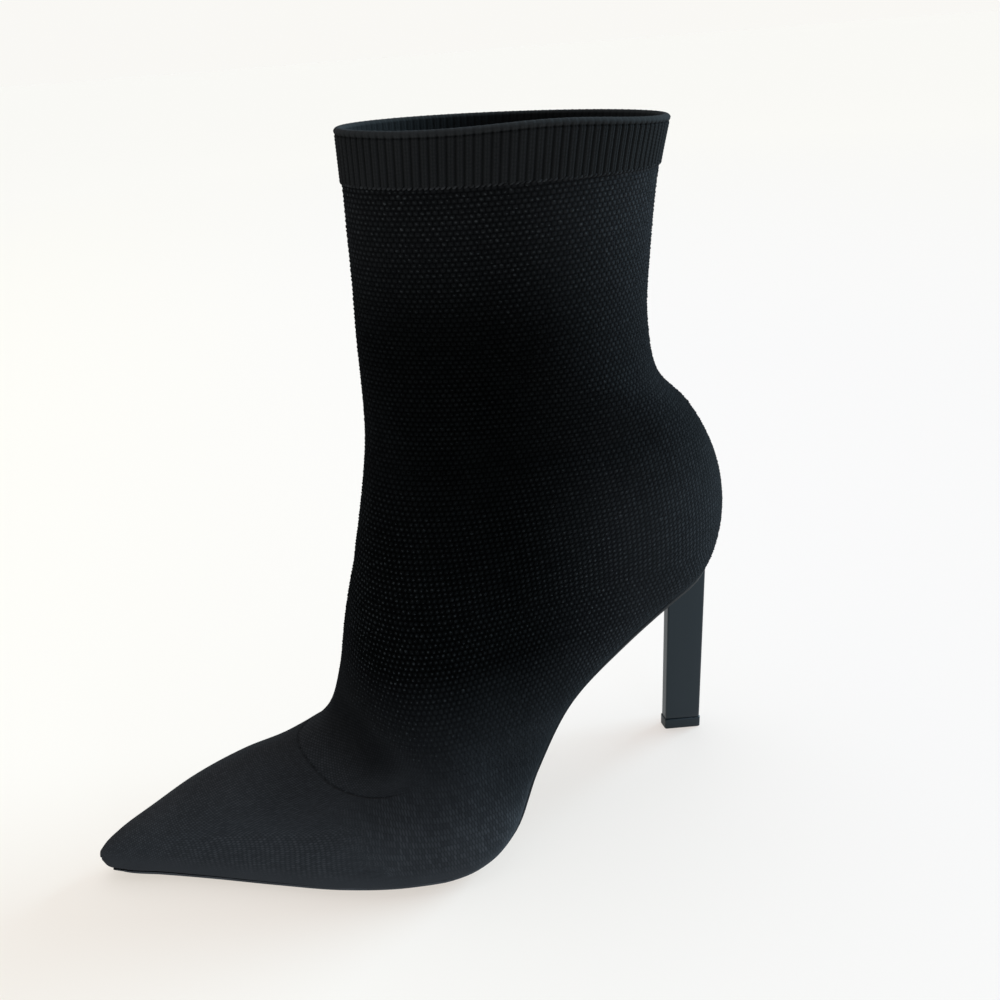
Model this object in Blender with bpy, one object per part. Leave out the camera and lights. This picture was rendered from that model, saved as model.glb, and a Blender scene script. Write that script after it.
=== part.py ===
# Knit ankle boot for the left foot, standing on its forefoot and heel tip.
# X runs from the toe (-) to the heel (+), Y from the outer side (-) to the inner side (+), Z is up.
# The origin is the middle of the heel tip's floor face.

import bpy
import numpy as np

MM = 0.001

# Walls and fits, in millimetres.
KNIT_WALL = 1.8
PIECE_GAP = 0.35
INSOLE_GAP = 0.85
CUFF_STEP = 0.5
VAMP_STEP = 0.45
RIM_ROUND = 0.5
LASTING_MARGIN = 11.0

# Sole pieces, in millimetres.
SOLE_THICK = 2.0
TOE_THICK = 0.9
SEAT_THICK = 1.2
SOLE_EDGE = 1.1
TREAD_SHARE = 0.78
INSOLE_THICK = 2.0

# Heel block, in millimetres.
HEEL_FRONT_X = -6.3
HEEL_BACK_X = 7.9
HEEL_FRONT_HALF = 2.1
HEEL_BACK_HALF = 5.6
HEEL_EDGE = 0.8
TIP_HEIGHT = 5.0
TIP_PROUD = 0.3
TIP_SEAM = 0.1

# Places along the boot, as section numbers of the table below.
VAMP_SECTION = 6.2
VAMP_REACH = 3.0
CUFF_SECTION = 22.24
COLLAR_SECTION = 23.0
ARCH_SECTION = 7.0
SEAT_SECTION = 13.0
COUNTER_SECTION = 15.0
ANKLE_SECTION = 20.0
INNER_TOE_SECTION = 1.5
LIFT_MIDDLE = 0.45
LIFT_SPREAD = 0.27
LIFT_START = 0.065
OPEN_FIRST = 4.0
OPEN_LAST = 13.4
OPEN_EASE = 2.2
SOLE_FIRST = 1.4
SOLE_LAST = 14.4
INSOLE_FIRST = 3.4
INSOLE_LAST = 13.9

# Mesh density.
MARGIN_COLUMNS = 4
SIDE_COLUMNS = 18
COLUMN_CROWD = 1.3
RING_STEP = 0.5
SEAT_STEP = 0.32
SEAM_SPLIT = 0.03
FINE_POINTS = 120

# One row for each section from the toe to the collar, in millimetres.
# Each section lies in a plane through its sole or back point and its ridge or front point, across the boot.
# forward is measured from the heel tip towards the toe. belly is how far up the section it is widest,
# and the two powers shape it below and above that place. The middle and the ridge may lie off centre.
# outer_lift raises the outer side, most a little behind the middle.
SECTION_COLUMNS = (
    "back_forward", "back_z", "ridge_forward", "ridge_z", "outer_half", "inner_half",
    "belly", "sole_power", "crown_power", "back_y", "ridge_y", "outer_lift",
)
SECTIONS = (
    (233.4, 7.6, 233.2, 10.8, 1.6, 1.6, 0.50, 2.4, 2.2, 0.0, 0.0, 0.0),
    (232.0, 5.6, 230.8, 13.4, 3.3, 3.3, 0.45, 3.2, 2.1, 0.0, 0.0, 0.0),
    (226.0, 4.4, 225.0, 17.4, 6.3, 5.9, 0.40, 5.0, 2.0, 0.0, 0.2, 0.0),
    (213.5, 3.5, 212.0, 23.7, 11.2, 10.0, 0.36, 6.5, 1.95, -0.2, 0.6, 0.0),
    (196.0, 2.75, 196.2, 30.5, 18.8, 16.0, 0.32, 8.0, 1.9, -0.6, 1.2, 0.0),
    (174.0, 2.35, 177.5, 35.3, 28.3, 23.5, 0.29, 9.0, 1.8, -2.0, 1.6, 0.0),
    (150.0, 2.35, 160.0, 37.2, 38.0, 30.5, 0.27, 9.0, 1.75, -4.0, 1.4, 0.0),
    (126.0, 2.35, 144.5, 46.0, 44.5, 35.0, 0.27, 8.5, 1.75, -5.6, 0.5, 0.0),
    (103.0, 2.9, 137.0, 65.6, 47.5, 35.0, 0.29, 6.8, 1.85, -6.4, -1.0, 0.0),
    (86.6, 8.7, 132.3, 86.6, 45.8, 32.5, 0.33, 5.0, 2.0, -6.4, -2.0, 0.0),
    (73.2, 26.6, 127.0, 107.0, 40.5, 30.5, 0.38, 3.9, 2.0, -5.6, -2.5, 0.0),
    (56.2, 47.4, 122.0, 126.0, 35.5, 29.5, 0.40, 3.4, 2.0, -4.4, -2.5, 0.0),
    (34.0, 62.6, 118.3, 142.0, 32.6, 30.0, 0.42, 3.1, 2.0, -3.0, -2.2, 0.0),
    (13.2, 74.8, 116.0, 154.5, 31.9, 30.5, 0.42, 2.9, 2.0, -1.6, -1.8, 0.0),
    (-3.8, 83.6, 115.0, 164.5, 32.0, 31.0, 0.42, 2.6, 2.0, -0.6, -1.4, 0.0),
    (-12.0, 98.0, 114.6, 173.5, 32.0, 31.0, 0.43, 2.2, 2.0, 0.0, -1.0, 0.0),
    (-13.2, 114.0, 114.3, 181.5, 31.5, 31.0, 0.44, 2.0, 2.0, 0.0, -0.8, 0.0),
    (-8.8, 131.4, 114.0, 189.5, 31.0, 31.0, 0.45, 2.0, 2.0, 0.0, -0.6, 0.0),
    (1.4, 150.0, 113.5, 197.5, 31.0, 31.0, 0.46, 2.0, 2.0, 0.0, -0.5, 0.0),
    (13.5, 163.8, 113.0, 205.5, 31.0, 31.0, 0.47, 2.0, 2.0, 0.0, -0.4, 0.0),
    (17.6, 183.0, 112.7, 213.5, 31.0, 31.0, 0.48, 2.0, 2.0, 0.0, -0.3, 0.0),
    (16.8, 206.0, 112.4, 222.0, 31.0, 31.0, 0.49, 2.0, 2.0, 0.0, -0.2, 0.0),
    (14.7, 227.5, 112.0, 231.0, 31.5, 31.5, 0.50, 2.0, 2.0, 0.0, 0.0, 0.3),
    (11.2, 245.3, 111.6, 249.4, 32.5, 33.5, 0.50, 2.0, 2.0, 0.0, 0.0, 2.2),
)

# How far the vamp edge lies behind its middle, in sections, by the share of the half ring from sole to ridge.
VAMP_CURVE = (
    (0.0, 1.2), (0.42, 1.2), (0.50, 1.55), (0.56, 1.88), (0.60, 2.0), (0.625, 1.97), (0.635, 1.80), (0.65, 1.50),
    (0.67, 1.22), (0.69, 0.97), (0.735, 0.60), (0.785, 0.36), (0.865, 0.16), (0.91, 0.08), (0.96, 0.01), (1.0, 0.0),
)

# Share of the half width that the sole pieces take, and the sole's thickness in millimetres.
SOLE_COLUMNS = ("section", "sole_share", "insole_share", "sole_thick")
SOLE_TABLE = (
    (0.0, 0.88, 0.50, TOE_THICK),
    (2.0, 0.90, 0.50, TOE_THICK),
    (3.4, 0.92, 0.52, 1.4),
    (5.0, 0.95, 0.72, SOLE_THICK),
    (7.5, 0.95, 0.75, SOLE_THICK),
    (8.5, 0.88, 0.70, SOLE_THICK),
    (9.5, 0.75, 0.62, SEAT_THICK),
    (11.0, 0.64, 0.55, SEAT_THICK),
    (13.0, 0.56, 0.50, SEAT_THICK),
    (15.0, 0.50, 0.45, SEAT_THICK),
)

OUTER, INNER = -1, 1


def start_scene():
    for item in list(bpy.data.objects):
        bpy.data.objects.remove(item, do_unlink=True)


def smooth(value):
    value = min(max(value, 0.0), 1.0)
    return value * value * (3.0 - 2.0 * value)


def section_runs():
    # Distance along the middle of the boot to each row of the table.
    rows = np.array(SECTIONS)
    middle = (rows[:, 0:2] + rows[:, 2:4]) / 2
    steps = np.hypot(*np.diff(middle, axis=0).T)
    return np.concatenate([[0.0], np.cumsum(np.maximum(steps, 3.0))])


RUNS = section_runs()
SLOPES = np.gradient(np.array(SECTIONS), RUNS, axis=0)


def section_at(number):
    # Cubic through the table's rows, as a dictionary by column name.
    rows = np.array(SECTIONS)
    low = int(min(max(number, 0.0), len(rows) - 1.001))
    share = number - low
    gap = RUNS[low + 1] - RUNS[low]
    row = (1 + 2 * share) * (1 - share) ** 2 * rows[low]
    row = row + share * share * (3 - 2 * share) * rows[low + 1]
    row = row + share * (1 - share) ** 2 * gap * SLOPES[low]
    row = row + share * share * (share - 1) * gap * SLOPES[low + 1]
    return dict(zip(SECTION_COLUMNS, row))


def sole_at(number, column):
    table = np.array(SOLE_TABLE)
    return float(np.interp(number, table[:, 0], table[:, SOLE_COLUMNS.index(column)]))


def half_ring(number, side):
    # One side of a section, from the middle of the sole or back to the ridge, with the share of its run.
    s = section_at(number)
    half = s["outer_half"] if side == OUTER else s["inner_half"]
    turn = np.linspace(0.0, np.pi, FINE_POINTS)
    low = turn <= np.pi / 2
    power = np.where(low, s["sole_power"], s["crown_power"])
    reach = np.abs(np.cos(turn)) ** (2 / power)
    up = np.where(low, s["belly"] * (1 - reach), s["belly"] + (1 - s["belly"]) * reach)
    across = side * half * np.abs(np.sin(turn)) ** (2 / power)
    x = -(s["back_forward"] + (s["ridge_forward"] - s["back_forward"]) * up)
    y = s["back_y"] + (s["ridge_y"] - s["back_y"]) * up + across
    z = s["back_z"] + (s["ridge_z"] - s["back_z"]) * up
    if side == OUTER:
        swell = np.exp(-(((up - LIFT_MIDDLE) / LIFT_SPREAD) ** 2))
        z = z + s["outer_lift"] * np.maximum(swell - LIFT_START, 0.0)
    points = np.stack([x, y, z], axis=1)
    run = np.concatenate([[0.0], np.cumsum(np.linalg.norm(np.diff(points, axis=0), axis=1))])
    return points, run / run[-1], np.abs(across)


def form_point(number, side, share):
    points, run, _ = half_ring(number, side)
    return np.array([np.interp(share, run, points[:, k]) for k in range(3)])


def form_normal(number, side, share):
    # Outward direction of the form's surface.
    along = 0.06
    around = 0.01
    first = form_point(max(number - along, 0.0), side, share)
    last = form_point(min(number + along, COLLAR_SECTION), side, share)
    below = form_point(number, side, max(share - around, 0.0))
    above = form_point(number, side, min(share + around, 1.0))
    if share < around:
        below = form_point(number, -side, around)
    if share > 1.0 - around:
        above = form_point(number, -side, 1.0 - around)
    normal = np.cross(last - first, above - below) * -side
    return normal / np.linalg.norm(normal)


def share_at_half(number, side, distance):
    # Share of the half ring at a given distance out from the middle of the sole.
    _, run, across = half_ring(number, side)
    widest = int(np.argmax(across))
    return float(np.interp(distance, across[: widest + 1], run[: widest + 1]))


def half_width(number, side):
    s = section_at(number)
    return s["outer_half"] if side == OUTER else s["inner_half"]


def opening_half(number, side):
    # Half width of the opening under the foot, inside the lasting margin.
    if number < OPEN_FIRST or number > OPEN_LAST:
        return 0.0
    edge = half_width(number, side) * sole_at(number, "sole_share") - LASTING_MARGIN
    ends = smooth((number - OPEN_FIRST) / OPEN_EASE) * smooth((OPEN_LAST - number) / OPEN_EASE)
    return max(edge, 0.0) * ends


def vamp_section(number, share):
    # Sections near the vamp edge lean back on both sides of the foot, so that one ring follows the edge.
    curve = np.array(VAMP_CURVE)
    lean = float(np.interp(share, curve[:, 0], curve[:, 1]))
    near = max(0.0, 1.0 - abs(number - VAMP_SECTION) / VAMP_REACH)
    return number + lean * near


def wall_step(number, share):
    # How far the outside stands proud of the plain form.
    if number > CUFF_SECTION:
        return CUFF_STEP
    if number < VAMP_SECTION:
        return VAMP_STEP * smooth((share - 0.61) / 0.08)
    return 0.0


def ring_numbers():
    # Rings lie closer where the sole turns up into the seat and counter.
    numbers = list(np.arange(0.0, ARCH_SECTION, RING_STEP))
    numbers += list(np.arange(ARCH_SECTION, COUNTER_SECTION, SEAT_STEP))
    numbers += list(np.arange(COUNTER_SECTION, ANKLE_SECTION, RING_STEP))
    numbers += list(np.arange(ANKLE_SECTION, COLLAR_SECTION, 2 * RING_STEP))
    numbers = [n for n in numbers if abs(n - CUFF_SECTION) > 0.01]
    for split in (VAMP_SECTION, CUFF_SECTION):
        numbers += [split - SEAM_SPLIT, split + SEAM_SPLIT]
    numbers += [COLLAR_SECTION - 0.08, COLLAR_SECTION]
    return sorted(float(n) for n in numbers)


def column_shares(number, side):
    # Columns cross the lasting margin, meet the edge of the sole, then crowd where the side turns up from it.
    start = share_at_half(number, side, opening_half(number, side))
    edge = share_at_half(number, side, sole_at(number, "sole_share") * half_width(number, side))
    margin = [start + (edge - start) * j / MARGIN_COLUMNS for j in range(MARGIN_COLUMNS)]
    rise = np.linspace(0.0, 1.0, SIDE_COLUMNS - MARGIN_COLUMNS + 1) ** COLUMN_CROWD
    return margin + [edge + (1.0 - edge) * float(r) for r in rise]


def upper_rings():
    # Outside and inside points of every ring, from the outer edge of the opening over the ridge to the inner one.
    outside, inside, opened = [], [], []
    for number in ring_numbers():
        ring_out, ring_in = [], []
        foot = vamp_section(number, 0.0)
        shares = {side: column_shares(foot, side) for side in (OUTER, INNER)}
        order = [(OUTER, j) for j in range(SIDE_COLUMNS + 1)]
        order += [(INNER, j) for j in range(SIDE_COLUMNS - 1, -1, -1)]
        for side, j in order:
            share = shares[side][j]
            place = vamp_section(number, share)
            point = form_point(place, side, share)
            normal = form_normal(place, side, share)
            proud = wall_step(number, share)
            wall = KNIT_WALL
            if number == COLLAR_SECTION:
                proud = proud - RIM_ROUND
                wall = wall - RIM_ROUND
            ring_out.append(point + normal * proud)
            ring_in.append(point - normal * wall)
        outside.append(ring_out)
        inside.append(ring_in)
        opened.append(opening_half(foot, OUTER) > 0.0 and opening_half(foot, INNER) > 0.0)
    return outside, inside, opened


def make_object(name, points, faces, colour, roughness):
    mesh = bpy.data.meshes.new(name)
    mesh.from_pydata([tuple(float(v) * MM for v in p) for p in points], [], faces)
    mesh.validate()
    item = bpy.data.objects.new(name, mesh)
    bpy.context.scene.collection.objects.link(item)
    for face in mesh.polygons:
        face.use_smooth = True
    mesh.set_sharp_from_angle(angle=np.radians(40.0))
    material = bpy.data.materials.new(name + "_material")
    material.use_nodes = True
    shader = material.node_tree.nodes["Principled BSDF"]
    shader.inputs["Base Color"].default_value = (*colour, 1.0)
    shader.inputs["Roughness"].default_value = roughness
    mesh.materials.append(material)
    return item


class Skin:
    # Gathers points and faces of one solid, with rings that may close on themselves.
    def __init__(self):
        self.points = []
        self.faces = []

    def add(self, point):
        self.points.append(point)
        return len(self.points) - 1

    def face(self, corners, flip=False):
        kept = []
        for corner in corners:
            if corner not in kept:
                kept.append(corner)
        if len(kept) > 2:
            self.faces.append(kept[::-1] if flip else kept)


def ring_indices(skin, ring, is_open):
    indices = [skin.add(p) for p in ring[:-1]]
    indices.append(skin.add(ring[-1]) if is_open else indices[0])
    return indices


def build_upper():
    outside, inside, opened = upper_rings()
    numbers = ring_numbers()
    skin = Skin()
    rows_out = [ring_indices(skin, ring, is_open) for ring, is_open in zip(outside, opened)]
    first_in = next(k for k, number in enumerate(numbers) if number >= INNER_TOE_SECTION)
    rows_in = {k: ring_indices(skin, inside[k], opened[k]) for k in range(first_in, len(numbers))}
    columns = 2 * SIDE_COLUMNS
    for k in range(len(numbers) - 1):
        for j in range(columns):
            skin.face((rows_out[k][j], rows_out[k + 1][j], rows_out[k + 1][j + 1], rows_out[k][j + 1]))
            if k >= first_in:
                skin.face((rows_in[k][j], rows_in[k + 1][j], rows_in[k + 1][j + 1], rows_in[k][j + 1]), True)
        if opened[k] or opened[k + 1]:
            for j in (0, columns):
                edge = (rows_out[k][j], rows_out[k + 1][j], rows_in[k + 1][j], rows_in[k][j])
                skin.face(edge, j == 0)
    toe_out = skin.add(np.mean(outside[0], axis=0))
    toe_in = skin.add(np.mean(inside[first_in], axis=0))
    last = len(numbers) - 1
    for j in range(columns):
        skin.face((toe_out, rows_out[0][j], rows_out[0][j + 1]))
        skin.face((toe_in, rows_in[first_in][j], rows_in[first_in][j + 1]), True)
        skin.face((rows_out[last][j], rows_in[last][j], rows_in[last][j + 1], rows_out[last][j + 1]))
    return make_object("upper", skin.points, skin.faces, (0.012, 0.013, 0.015), 0.9)


def end_round(number, last):
    # The seat end of the sole pieces is rounded in plan.
    if number <= SEAT_SECTION:
        return 1.0
    along = (number - SEAT_SECTION) / (last - SEAT_SECTION)
    return max(0.12, np.sqrt(max(0.0, 1.0 - along * along)))


def sole_down(number):
    # Downward direction square to the bottom line of the sole.
    before = section_at(max(number - 0.05, 0.0))
    after = section_at(number + 0.05)
    along = np.array([-(after["back_forward"] - before["back_forward"]), 0.0, after["back_z"] - before["back_z"]])
    along = along / np.linalg.norm(along)
    return np.array([along[2], 0.0, -along[0]])


def sole_floor(number):
    # Middle of the outsole's underside.
    s = section_at(number)
    top = np.array([-s["back_forward"], s["back_y"], s["back_z"]])
    low = top + sole_down(number) * (PIECE_GAP + sole_at(number, "sole_thick"))
    low[2] = max(low[2], 0.0)
    return low


SOLE_ACROSS = (-1.0, -0.95, -0.88, -0.78, -0.6, -0.3, 0.3, 0.6, 0.78, 0.88, 0.95, 1.0)
INSOLE_ACROSS = (-1.0, -0.85, -0.6, -0.3, 0.3, 0.6, 0.85, 1.0)


def sole_stations(first, last):
    # The sole pieces share the upper's rings, with more stations at the rounded seat end.
    kept = [vamp_section(n, 0.0) for n in ring_numbers() if n != VAMP_SECTION + SEAM_SPLIT]
    kept = [n for n in kept if first + 0.1 < n < last - 0.25]
    return [first] + kept + [last - 0.2, last - 0.06, last]


def sole_row(number):
    top, low = [], []
    floor = sole_floor(number)
    down = sole_down(number)
    for across in SOLE_ACROSS:
        side = OUTER if across < 0 else INNER
        reach = abs(across) * sole_at(number, "sole_share") * half_width(number, side) * end_round(number, SOLE_LAST)
        share = share_at_half(number, side, reach)
        point = form_point(number, side, share)
        point = point + form_normal(number, side, share) * PIECE_GAP
        top.append(point)
        flat = np.array([floor[0], point[1], floor[2]])
        edge = point + down * min(SOLE_EDGE, sole_at(number, "sole_thick"))
        bend = smooth((abs(across) - TREAD_SHARE) / (1.0 - TREAD_SHARE))
        under = flat * (1.0 - bend) + edge * bend
        under[2] = max(under[2], 0.0)
        low.append(under)
    return top, low


def insole_row(number):
    top, low = [], []
    for across in INSOLE_ACROSS:
        side = OUTER if across < 0 else INNER
        reach = abs(across) * sole_at(number, "insole_share") * half_width(number, side)
        reach = reach * end_round(number, INSOLE_LAST)
        share = share_at_half(number, side, reach)
        point = form_point(number, side, share)
        normal = form_normal(number, side, share)
        low.append(point - normal * (KNIT_WALL + INSOLE_GAP))
        top.append(point - normal * (KNIT_WALL + INSOLE_GAP + INSOLE_THICK))
    return top, low


def build_strip(name, rows, colour, roughness):
    # Closed slab from pairs of top and bottom rows running along the foot.
    skin = Skin()
    loops = [[skin.add(p) for p in top] + [skin.add(p) for p in low[::-1]] for top, low in rows]
    size = len(loops[0])
    for a, b in zip(loops, loops[1:]):
        for j in range(size):
            skin.face((a[j], a[(j + 1) % size], b[(j + 1) % size], b[j]), True)
    skin.face(loops[0])
    skin.face(loops[-1], True)
    return make_object(name, skin.points, skin.faces, colour, roughness)


def heel_outline(grow):
    # Half outline of the block in plan: distance along X and half width, with eased edges.
    front, back = HEEL_FRONT_X - grow, HEEL_BACK_X + grow
    slope = (HEEL_BACK_HALF - HEEL_FRONT_HALF) / (HEEL_BACK_X - HEEL_FRONT_X)
    rows = [(front, HEEL_FRONT_HALF + grow - HEEL_EDGE)]
    rows.append((front + 0.25 * HEEL_EDGE, HEEL_FRONT_HALF + grow - 0.3 * HEEL_EDGE))
    for along in np.linspace(front + HEEL_EDGE, back - HEEL_EDGE, 7):
        rows.append((float(along), HEEL_FRONT_HALF + grow + slope * (float(along) - HEEL_FRONT_X)))
    rows.append((back - 0.25 * HEEL_EDGE, HEEL_BACK_HALF + grow - 0.3 * HEEL_EDGE))
    rows.append((back, HEEL_BACK_HALF + grow - HEEL_EDGE))
    return rows


def seat_height(x):
    # Height of the block's top, just under the outsole's seat.
    numbers = np.linspace(11.5, 15.5, 81)
    floors = [sole_floor(float(n)) for n in numbers]
    downs = [sole_down(float(n)) for n in numbers]
    line = [f + d * PIECE_GAP for f, d in zip(floors, downs)]
    return float(np.interp(x, [p[0] for p in line], [p[2] for p in line]))


def build_block(name, grow, low, top_of, colour, roughness):
    skin = Skin()
    loops = []
    for x, half in heel_outline(grow):
        high = top_of(x)
        corners = ((x, -half, high), (x, half, high), (x, half, low), (x, -half, low))
        loops.append([skin.add(np.array(c)) for c in corners])
    for a, b in zip(loops, loops[1:]):
        for j in range(4):
            skin.face((a[j], a[(j + 1) % 4], b[(j + 1) % 4], b[j]), True)
    skin.face(loops[0])
    skin.face(loops[-1], True)
    return make_object(name, skin.points, skin.faces, colour, roughness)


def build_boot():
    build_upper()
    sole_rows = [sole_row(n) for n in sole_stations(SOLE_FIRST, SOLE_LAST)]
    build_strip("outsole", sole_rows, (0.015, 0.015, 0.016), 0.6)
    insole_rows = [insole_row(n) for n in sole_stations(INSOLE_FIRST, INSOLE_LAST)]
    build_strip("insole", insole_rows, (0.03, 0.03, 0.032), 0.85)
    build_block("heel", 0.0, TIP_HEIGHT + TIP_SEAM, seat_height, (0.03, 0.033, 0.038), 0.35)
    build_block("heel_tip", TIP_PROUD, 0.0, lambda x: TIP_HEIGHT, (0.012, 0.012, 0.013), 0.55)


start_scene()
build_boot()
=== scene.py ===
import math
import bpy
import numpy as np
from mathutils import Matrix


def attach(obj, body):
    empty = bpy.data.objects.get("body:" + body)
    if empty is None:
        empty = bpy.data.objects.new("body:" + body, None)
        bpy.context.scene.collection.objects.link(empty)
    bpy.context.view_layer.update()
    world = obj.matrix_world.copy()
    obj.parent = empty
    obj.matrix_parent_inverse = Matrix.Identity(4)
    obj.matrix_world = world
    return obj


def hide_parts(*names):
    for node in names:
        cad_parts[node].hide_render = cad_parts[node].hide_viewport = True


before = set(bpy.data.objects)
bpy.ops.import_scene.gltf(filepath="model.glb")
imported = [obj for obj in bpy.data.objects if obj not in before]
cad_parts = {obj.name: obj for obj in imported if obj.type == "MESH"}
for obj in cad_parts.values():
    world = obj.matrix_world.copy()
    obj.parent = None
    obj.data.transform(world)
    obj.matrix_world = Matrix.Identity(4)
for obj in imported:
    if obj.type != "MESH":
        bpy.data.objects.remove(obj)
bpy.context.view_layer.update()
print("frame loaded:", ", ".join(sorted(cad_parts)))

mm = 0.001
outer, inner = -1, 1

# the last: one row per section from toe to collar, in mm; forward is measured from the heel tip to the toe
last = {
    "columns": ("backForward", "backZ", "ridgeForward", "ridgeZ", "outerHalf", "innerHalf",
                "belly", "solePower", "crownPower", "backY", "ridgeY", "outerLift"),
    "rows": (
        (233.4, 7.6, 233.2, 10.8, 1.6, 1.6, 0.50, 2.4, 2.2, 0.0, 0.0, 0.0),
        (232.0, 5.6, 230.8, 13.4, 3.3, 3.3, 0.45, 3.2, 2.1, 0.0, 0.0, 0.0),
        (226.0, 4.4, 225.0, 17.4, 6.3, 5.9, 0.40, 5.0, 2.0, 0.0, 0.2, 0.0),
        (213.5, 3.5, 212.0, 23.7, 11.2, 10.0, 0.36, 6.5, 1.95, -0.2, 0.6, 0.0),
        (196.0, 2.75, 196.2, 30.5, 18.8, 16.0, 0.32, 8.0, 1.9, -0.6, 1.2, 0.0),
        (174.0, 2.35, 177.5, 35.3, 28.3, 23.5, 0.29, 9.0, 1.8, -2.0, 1.6, 0.0),
        (150.0, 2.35, 160.0, 37.2, 38.0, 30.5, 0.27, 9.0, 1.75, -4.0, 1.4, 0.0),
        (126.0, 2.35, 144.5, 46.0, 44.5, 35.0, 0.27, 8.5, 1.75, -5.6, 0.5, 0.0),
        (103.0, 2.9, 137.0, 65.6, 47.5, 35.0, 0.29, 6.8, 1.85, -6.4, -1.0, 0.0),
        (86.6, 8.7, 132.3, 86.6, 45.8, 32.5, 0.33, 5.0, 2.0, -6.4, -2.0, 0.0),
        (73.2, 26.6, 127.0, 107.0, 40.5, 30.5, 0.38, 3.9, 2.0, -5.6, -2.5, 0.0),
        (56.2, 47.4, 122.0, 126.0, 35.5, 29.5, 0.40, 3.4, 2.0, -4.4, -2.5, 0.0),
        (34.0, 62.6, 118.3, 142.0, 32.6, 30.0, 0.42, 3.1, 2.0, -3.0, -2.2, 0.0),
        (13.2, 74.8, 116.0, 154.5, 31.9, 30.5, 0.42, 2.9, 2.0, -1.6, -1.8, 0.0),
        (-3.8, 83.6, 115.0, 164.5, 32.0, 31.0, 0.42, 2.6, 2.0, -0.6, -1.4, 0.0),
        (-12.0, 98.0, 114.6, 173.5, 32.0, 31.0, 0.43, 2.2, 2.0, 0.0, -1.0, 0.0),
        (-13.2, 114.0, 114.3, 181.5, 31.5, 31.0, 0.44, 2.0, 2.0, 0.0, -0.8, 0.0),
        (-8.8, 131.4, 114.0, 189.5, 31.0, 31.0, 0.45, 2.0, 2.0, 0.0, -0.6, 0.0),
        (1.4, 150.0, 113.5, 197.5, 31.0, 31.0, 0.46, 2.0, 2.0, 0.0, -0.5, 0.0),
        (13.5, 163.8, 113.0, 205.5, 31.0, 31.0, 0.47, 2.0, 2.0, 0.0, -0.4, 0.0),
        (17.6, 183.0, 112.7, 213.5, 31.0, 31.0, 0.48, 2.0, 2.0, 0.0, -0.3, 0.0),
        (16.8, 206.0, 112.4, 222.0, 31.0, 31.0, 0.49, 2.0, 2.0, 0.0, -0.2, 0.0),
        (14.7, 227.5, 112.0, 231.0, 31.5, 31.5, 0.50, 2.0, 2.0, 0.0, 0.0, 0.3),
        (11.2, 245.3, 111.6, 249.4, 32.5, 33.5, 0.50, 2.0, 2.0, 0.0, 0.0, 2.2),
    ),
    "collarAt": 23.0, "cuffAt": 22.24, "vampAt": 6.2, "vampReach": 3.0,
    "vampCurve": ((0.0, 1.2), (0.42, 1.2), (0.50, 1.55), (0.56, 1.88), (0.60, 2.0), (0.625, 1.97),
                  (0.635, 1.80), (0.65, 1.50), (0.67, 1.22), (0.69, 0.97), (0.735, 0.60), (0.785, 0.36),
                  (0.865, 0.16), (0.91, 0.08), (0.96, 0.01), (1.0, 0.0)),
    "vampPoints": 401, "vampRounds": 3, "vampWindow": 9,
    "wall": 1.8, "gap": 0.35, "liftMiddle": 0.45, "liftSpread": 0.27, "liftStart": 0.065, "leastStep": 3.0,
    "gridRows": 737, "gridColumns": 161, "finePoints": 161,
}

# sole pieces, mm: section, share of the half width for sole and footbed, sole thickness
soleShape = {
    "rows": ((0.0, 0.88, 0.50, 0.3), (1.4, 0.89, 0.50, 0.3), (2.2, 0.90, 0.50, 0.9), (3.4, 0.92, 0.52, 1.4),
             (5.0, 0.95, 0.72, 2.0), (7.5, 0.95, 0.75, 2.0), (8.5, 0.88, 0.70, 2.0), (9.5, 0.75, 0.62, 1.2),
             (11.0, 0.64, 0.55, 1.2), (13.0, 0.56, 0.50, 1.2), (15.0, 0.50, 0.45, 1.2)),
    "soleColumn": 1, "footColumn": 2, "thickColumn": 3,
    "first": 1.4, "seat": 13.0, "lastAt": 14.4, "leastRound": 0.12, "linePoints": 220,
    "endPart": 0.25, "endStations": 14, "acrossPower": 1.5, "slopeStep": 0.05,
}


def smooth(value):
    value = np.clip(value, 0.0, 1.0)
    return value * value * (3.0 - 2.0 * value)


def rise(value, start, length):  # soft step from 0 to 1
    return smooth((value - start) / length)


def fall(value, end, length):  # soft step from 1 to 0
    return smooth((end - value) / length)


def bell(value, middle, width):
    return np.exp(-((value - middle) / width) ** 2)


def unit(vectors):
    return vectors / np.maximum(np.linalg.norm(vectors, axis=-1, keepdims=True), 1e-9)


def fromTable(value, table):  # straight lines between the table's pairs
    return np.interp(value, *np.array(table, float).T)


def runAlong(points):  # length along a row of points
    return np.concatenate([[0.0], np.cumsum(np.linalg.norm(np.diff(points, axis=0), axis=1))])


def runAcross(grid):  # the same for each row of a grid
    run = np.cumsum(np.linalg.norm(np.diff(grid, axis=1), axis=2), axis=1)
    return np.concatenate([np.zeros((len(run), 1)), run], axis=1)


lastRows = np.array(last["rows"])
lastMiddle = (lastRows[:, 0:2] + lastRows[:, 2:4]) / 2
lastSteps = np.maximum(np.hypot(*np.diff(lastMiddle, axis=0).T), last["leastStep"])
lastRuns = np.concatenate([[0.0], np.cumsum(lastSteps)])
lastSlopes = np.gradient(lastRows, lastRuns, axis=0)


def sectionAt(number):  # cubic through the rows
    number = np.atleast_1d(np.asarray(number, float))
    low = np.clip(number.astype(int), 0, len(lastRows) - 2)
    t = (number - low)[:, None]
    gap = (lastRuns[low + 1] - lastRuns[low])[:, None]
    row = (1 + 2 * t) * (1 - t) ** 2 * lastRows[low] + t * t * (3 - 2 * t) * lastRows[low + 1]
    row = row + t * (1 - t) ** 2 * gap * lastSlopes[low] + t * t * (t - 1) * gap * lastSlopes[low + 1]
    return dict(zip(last["columns"], row.T))


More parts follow.
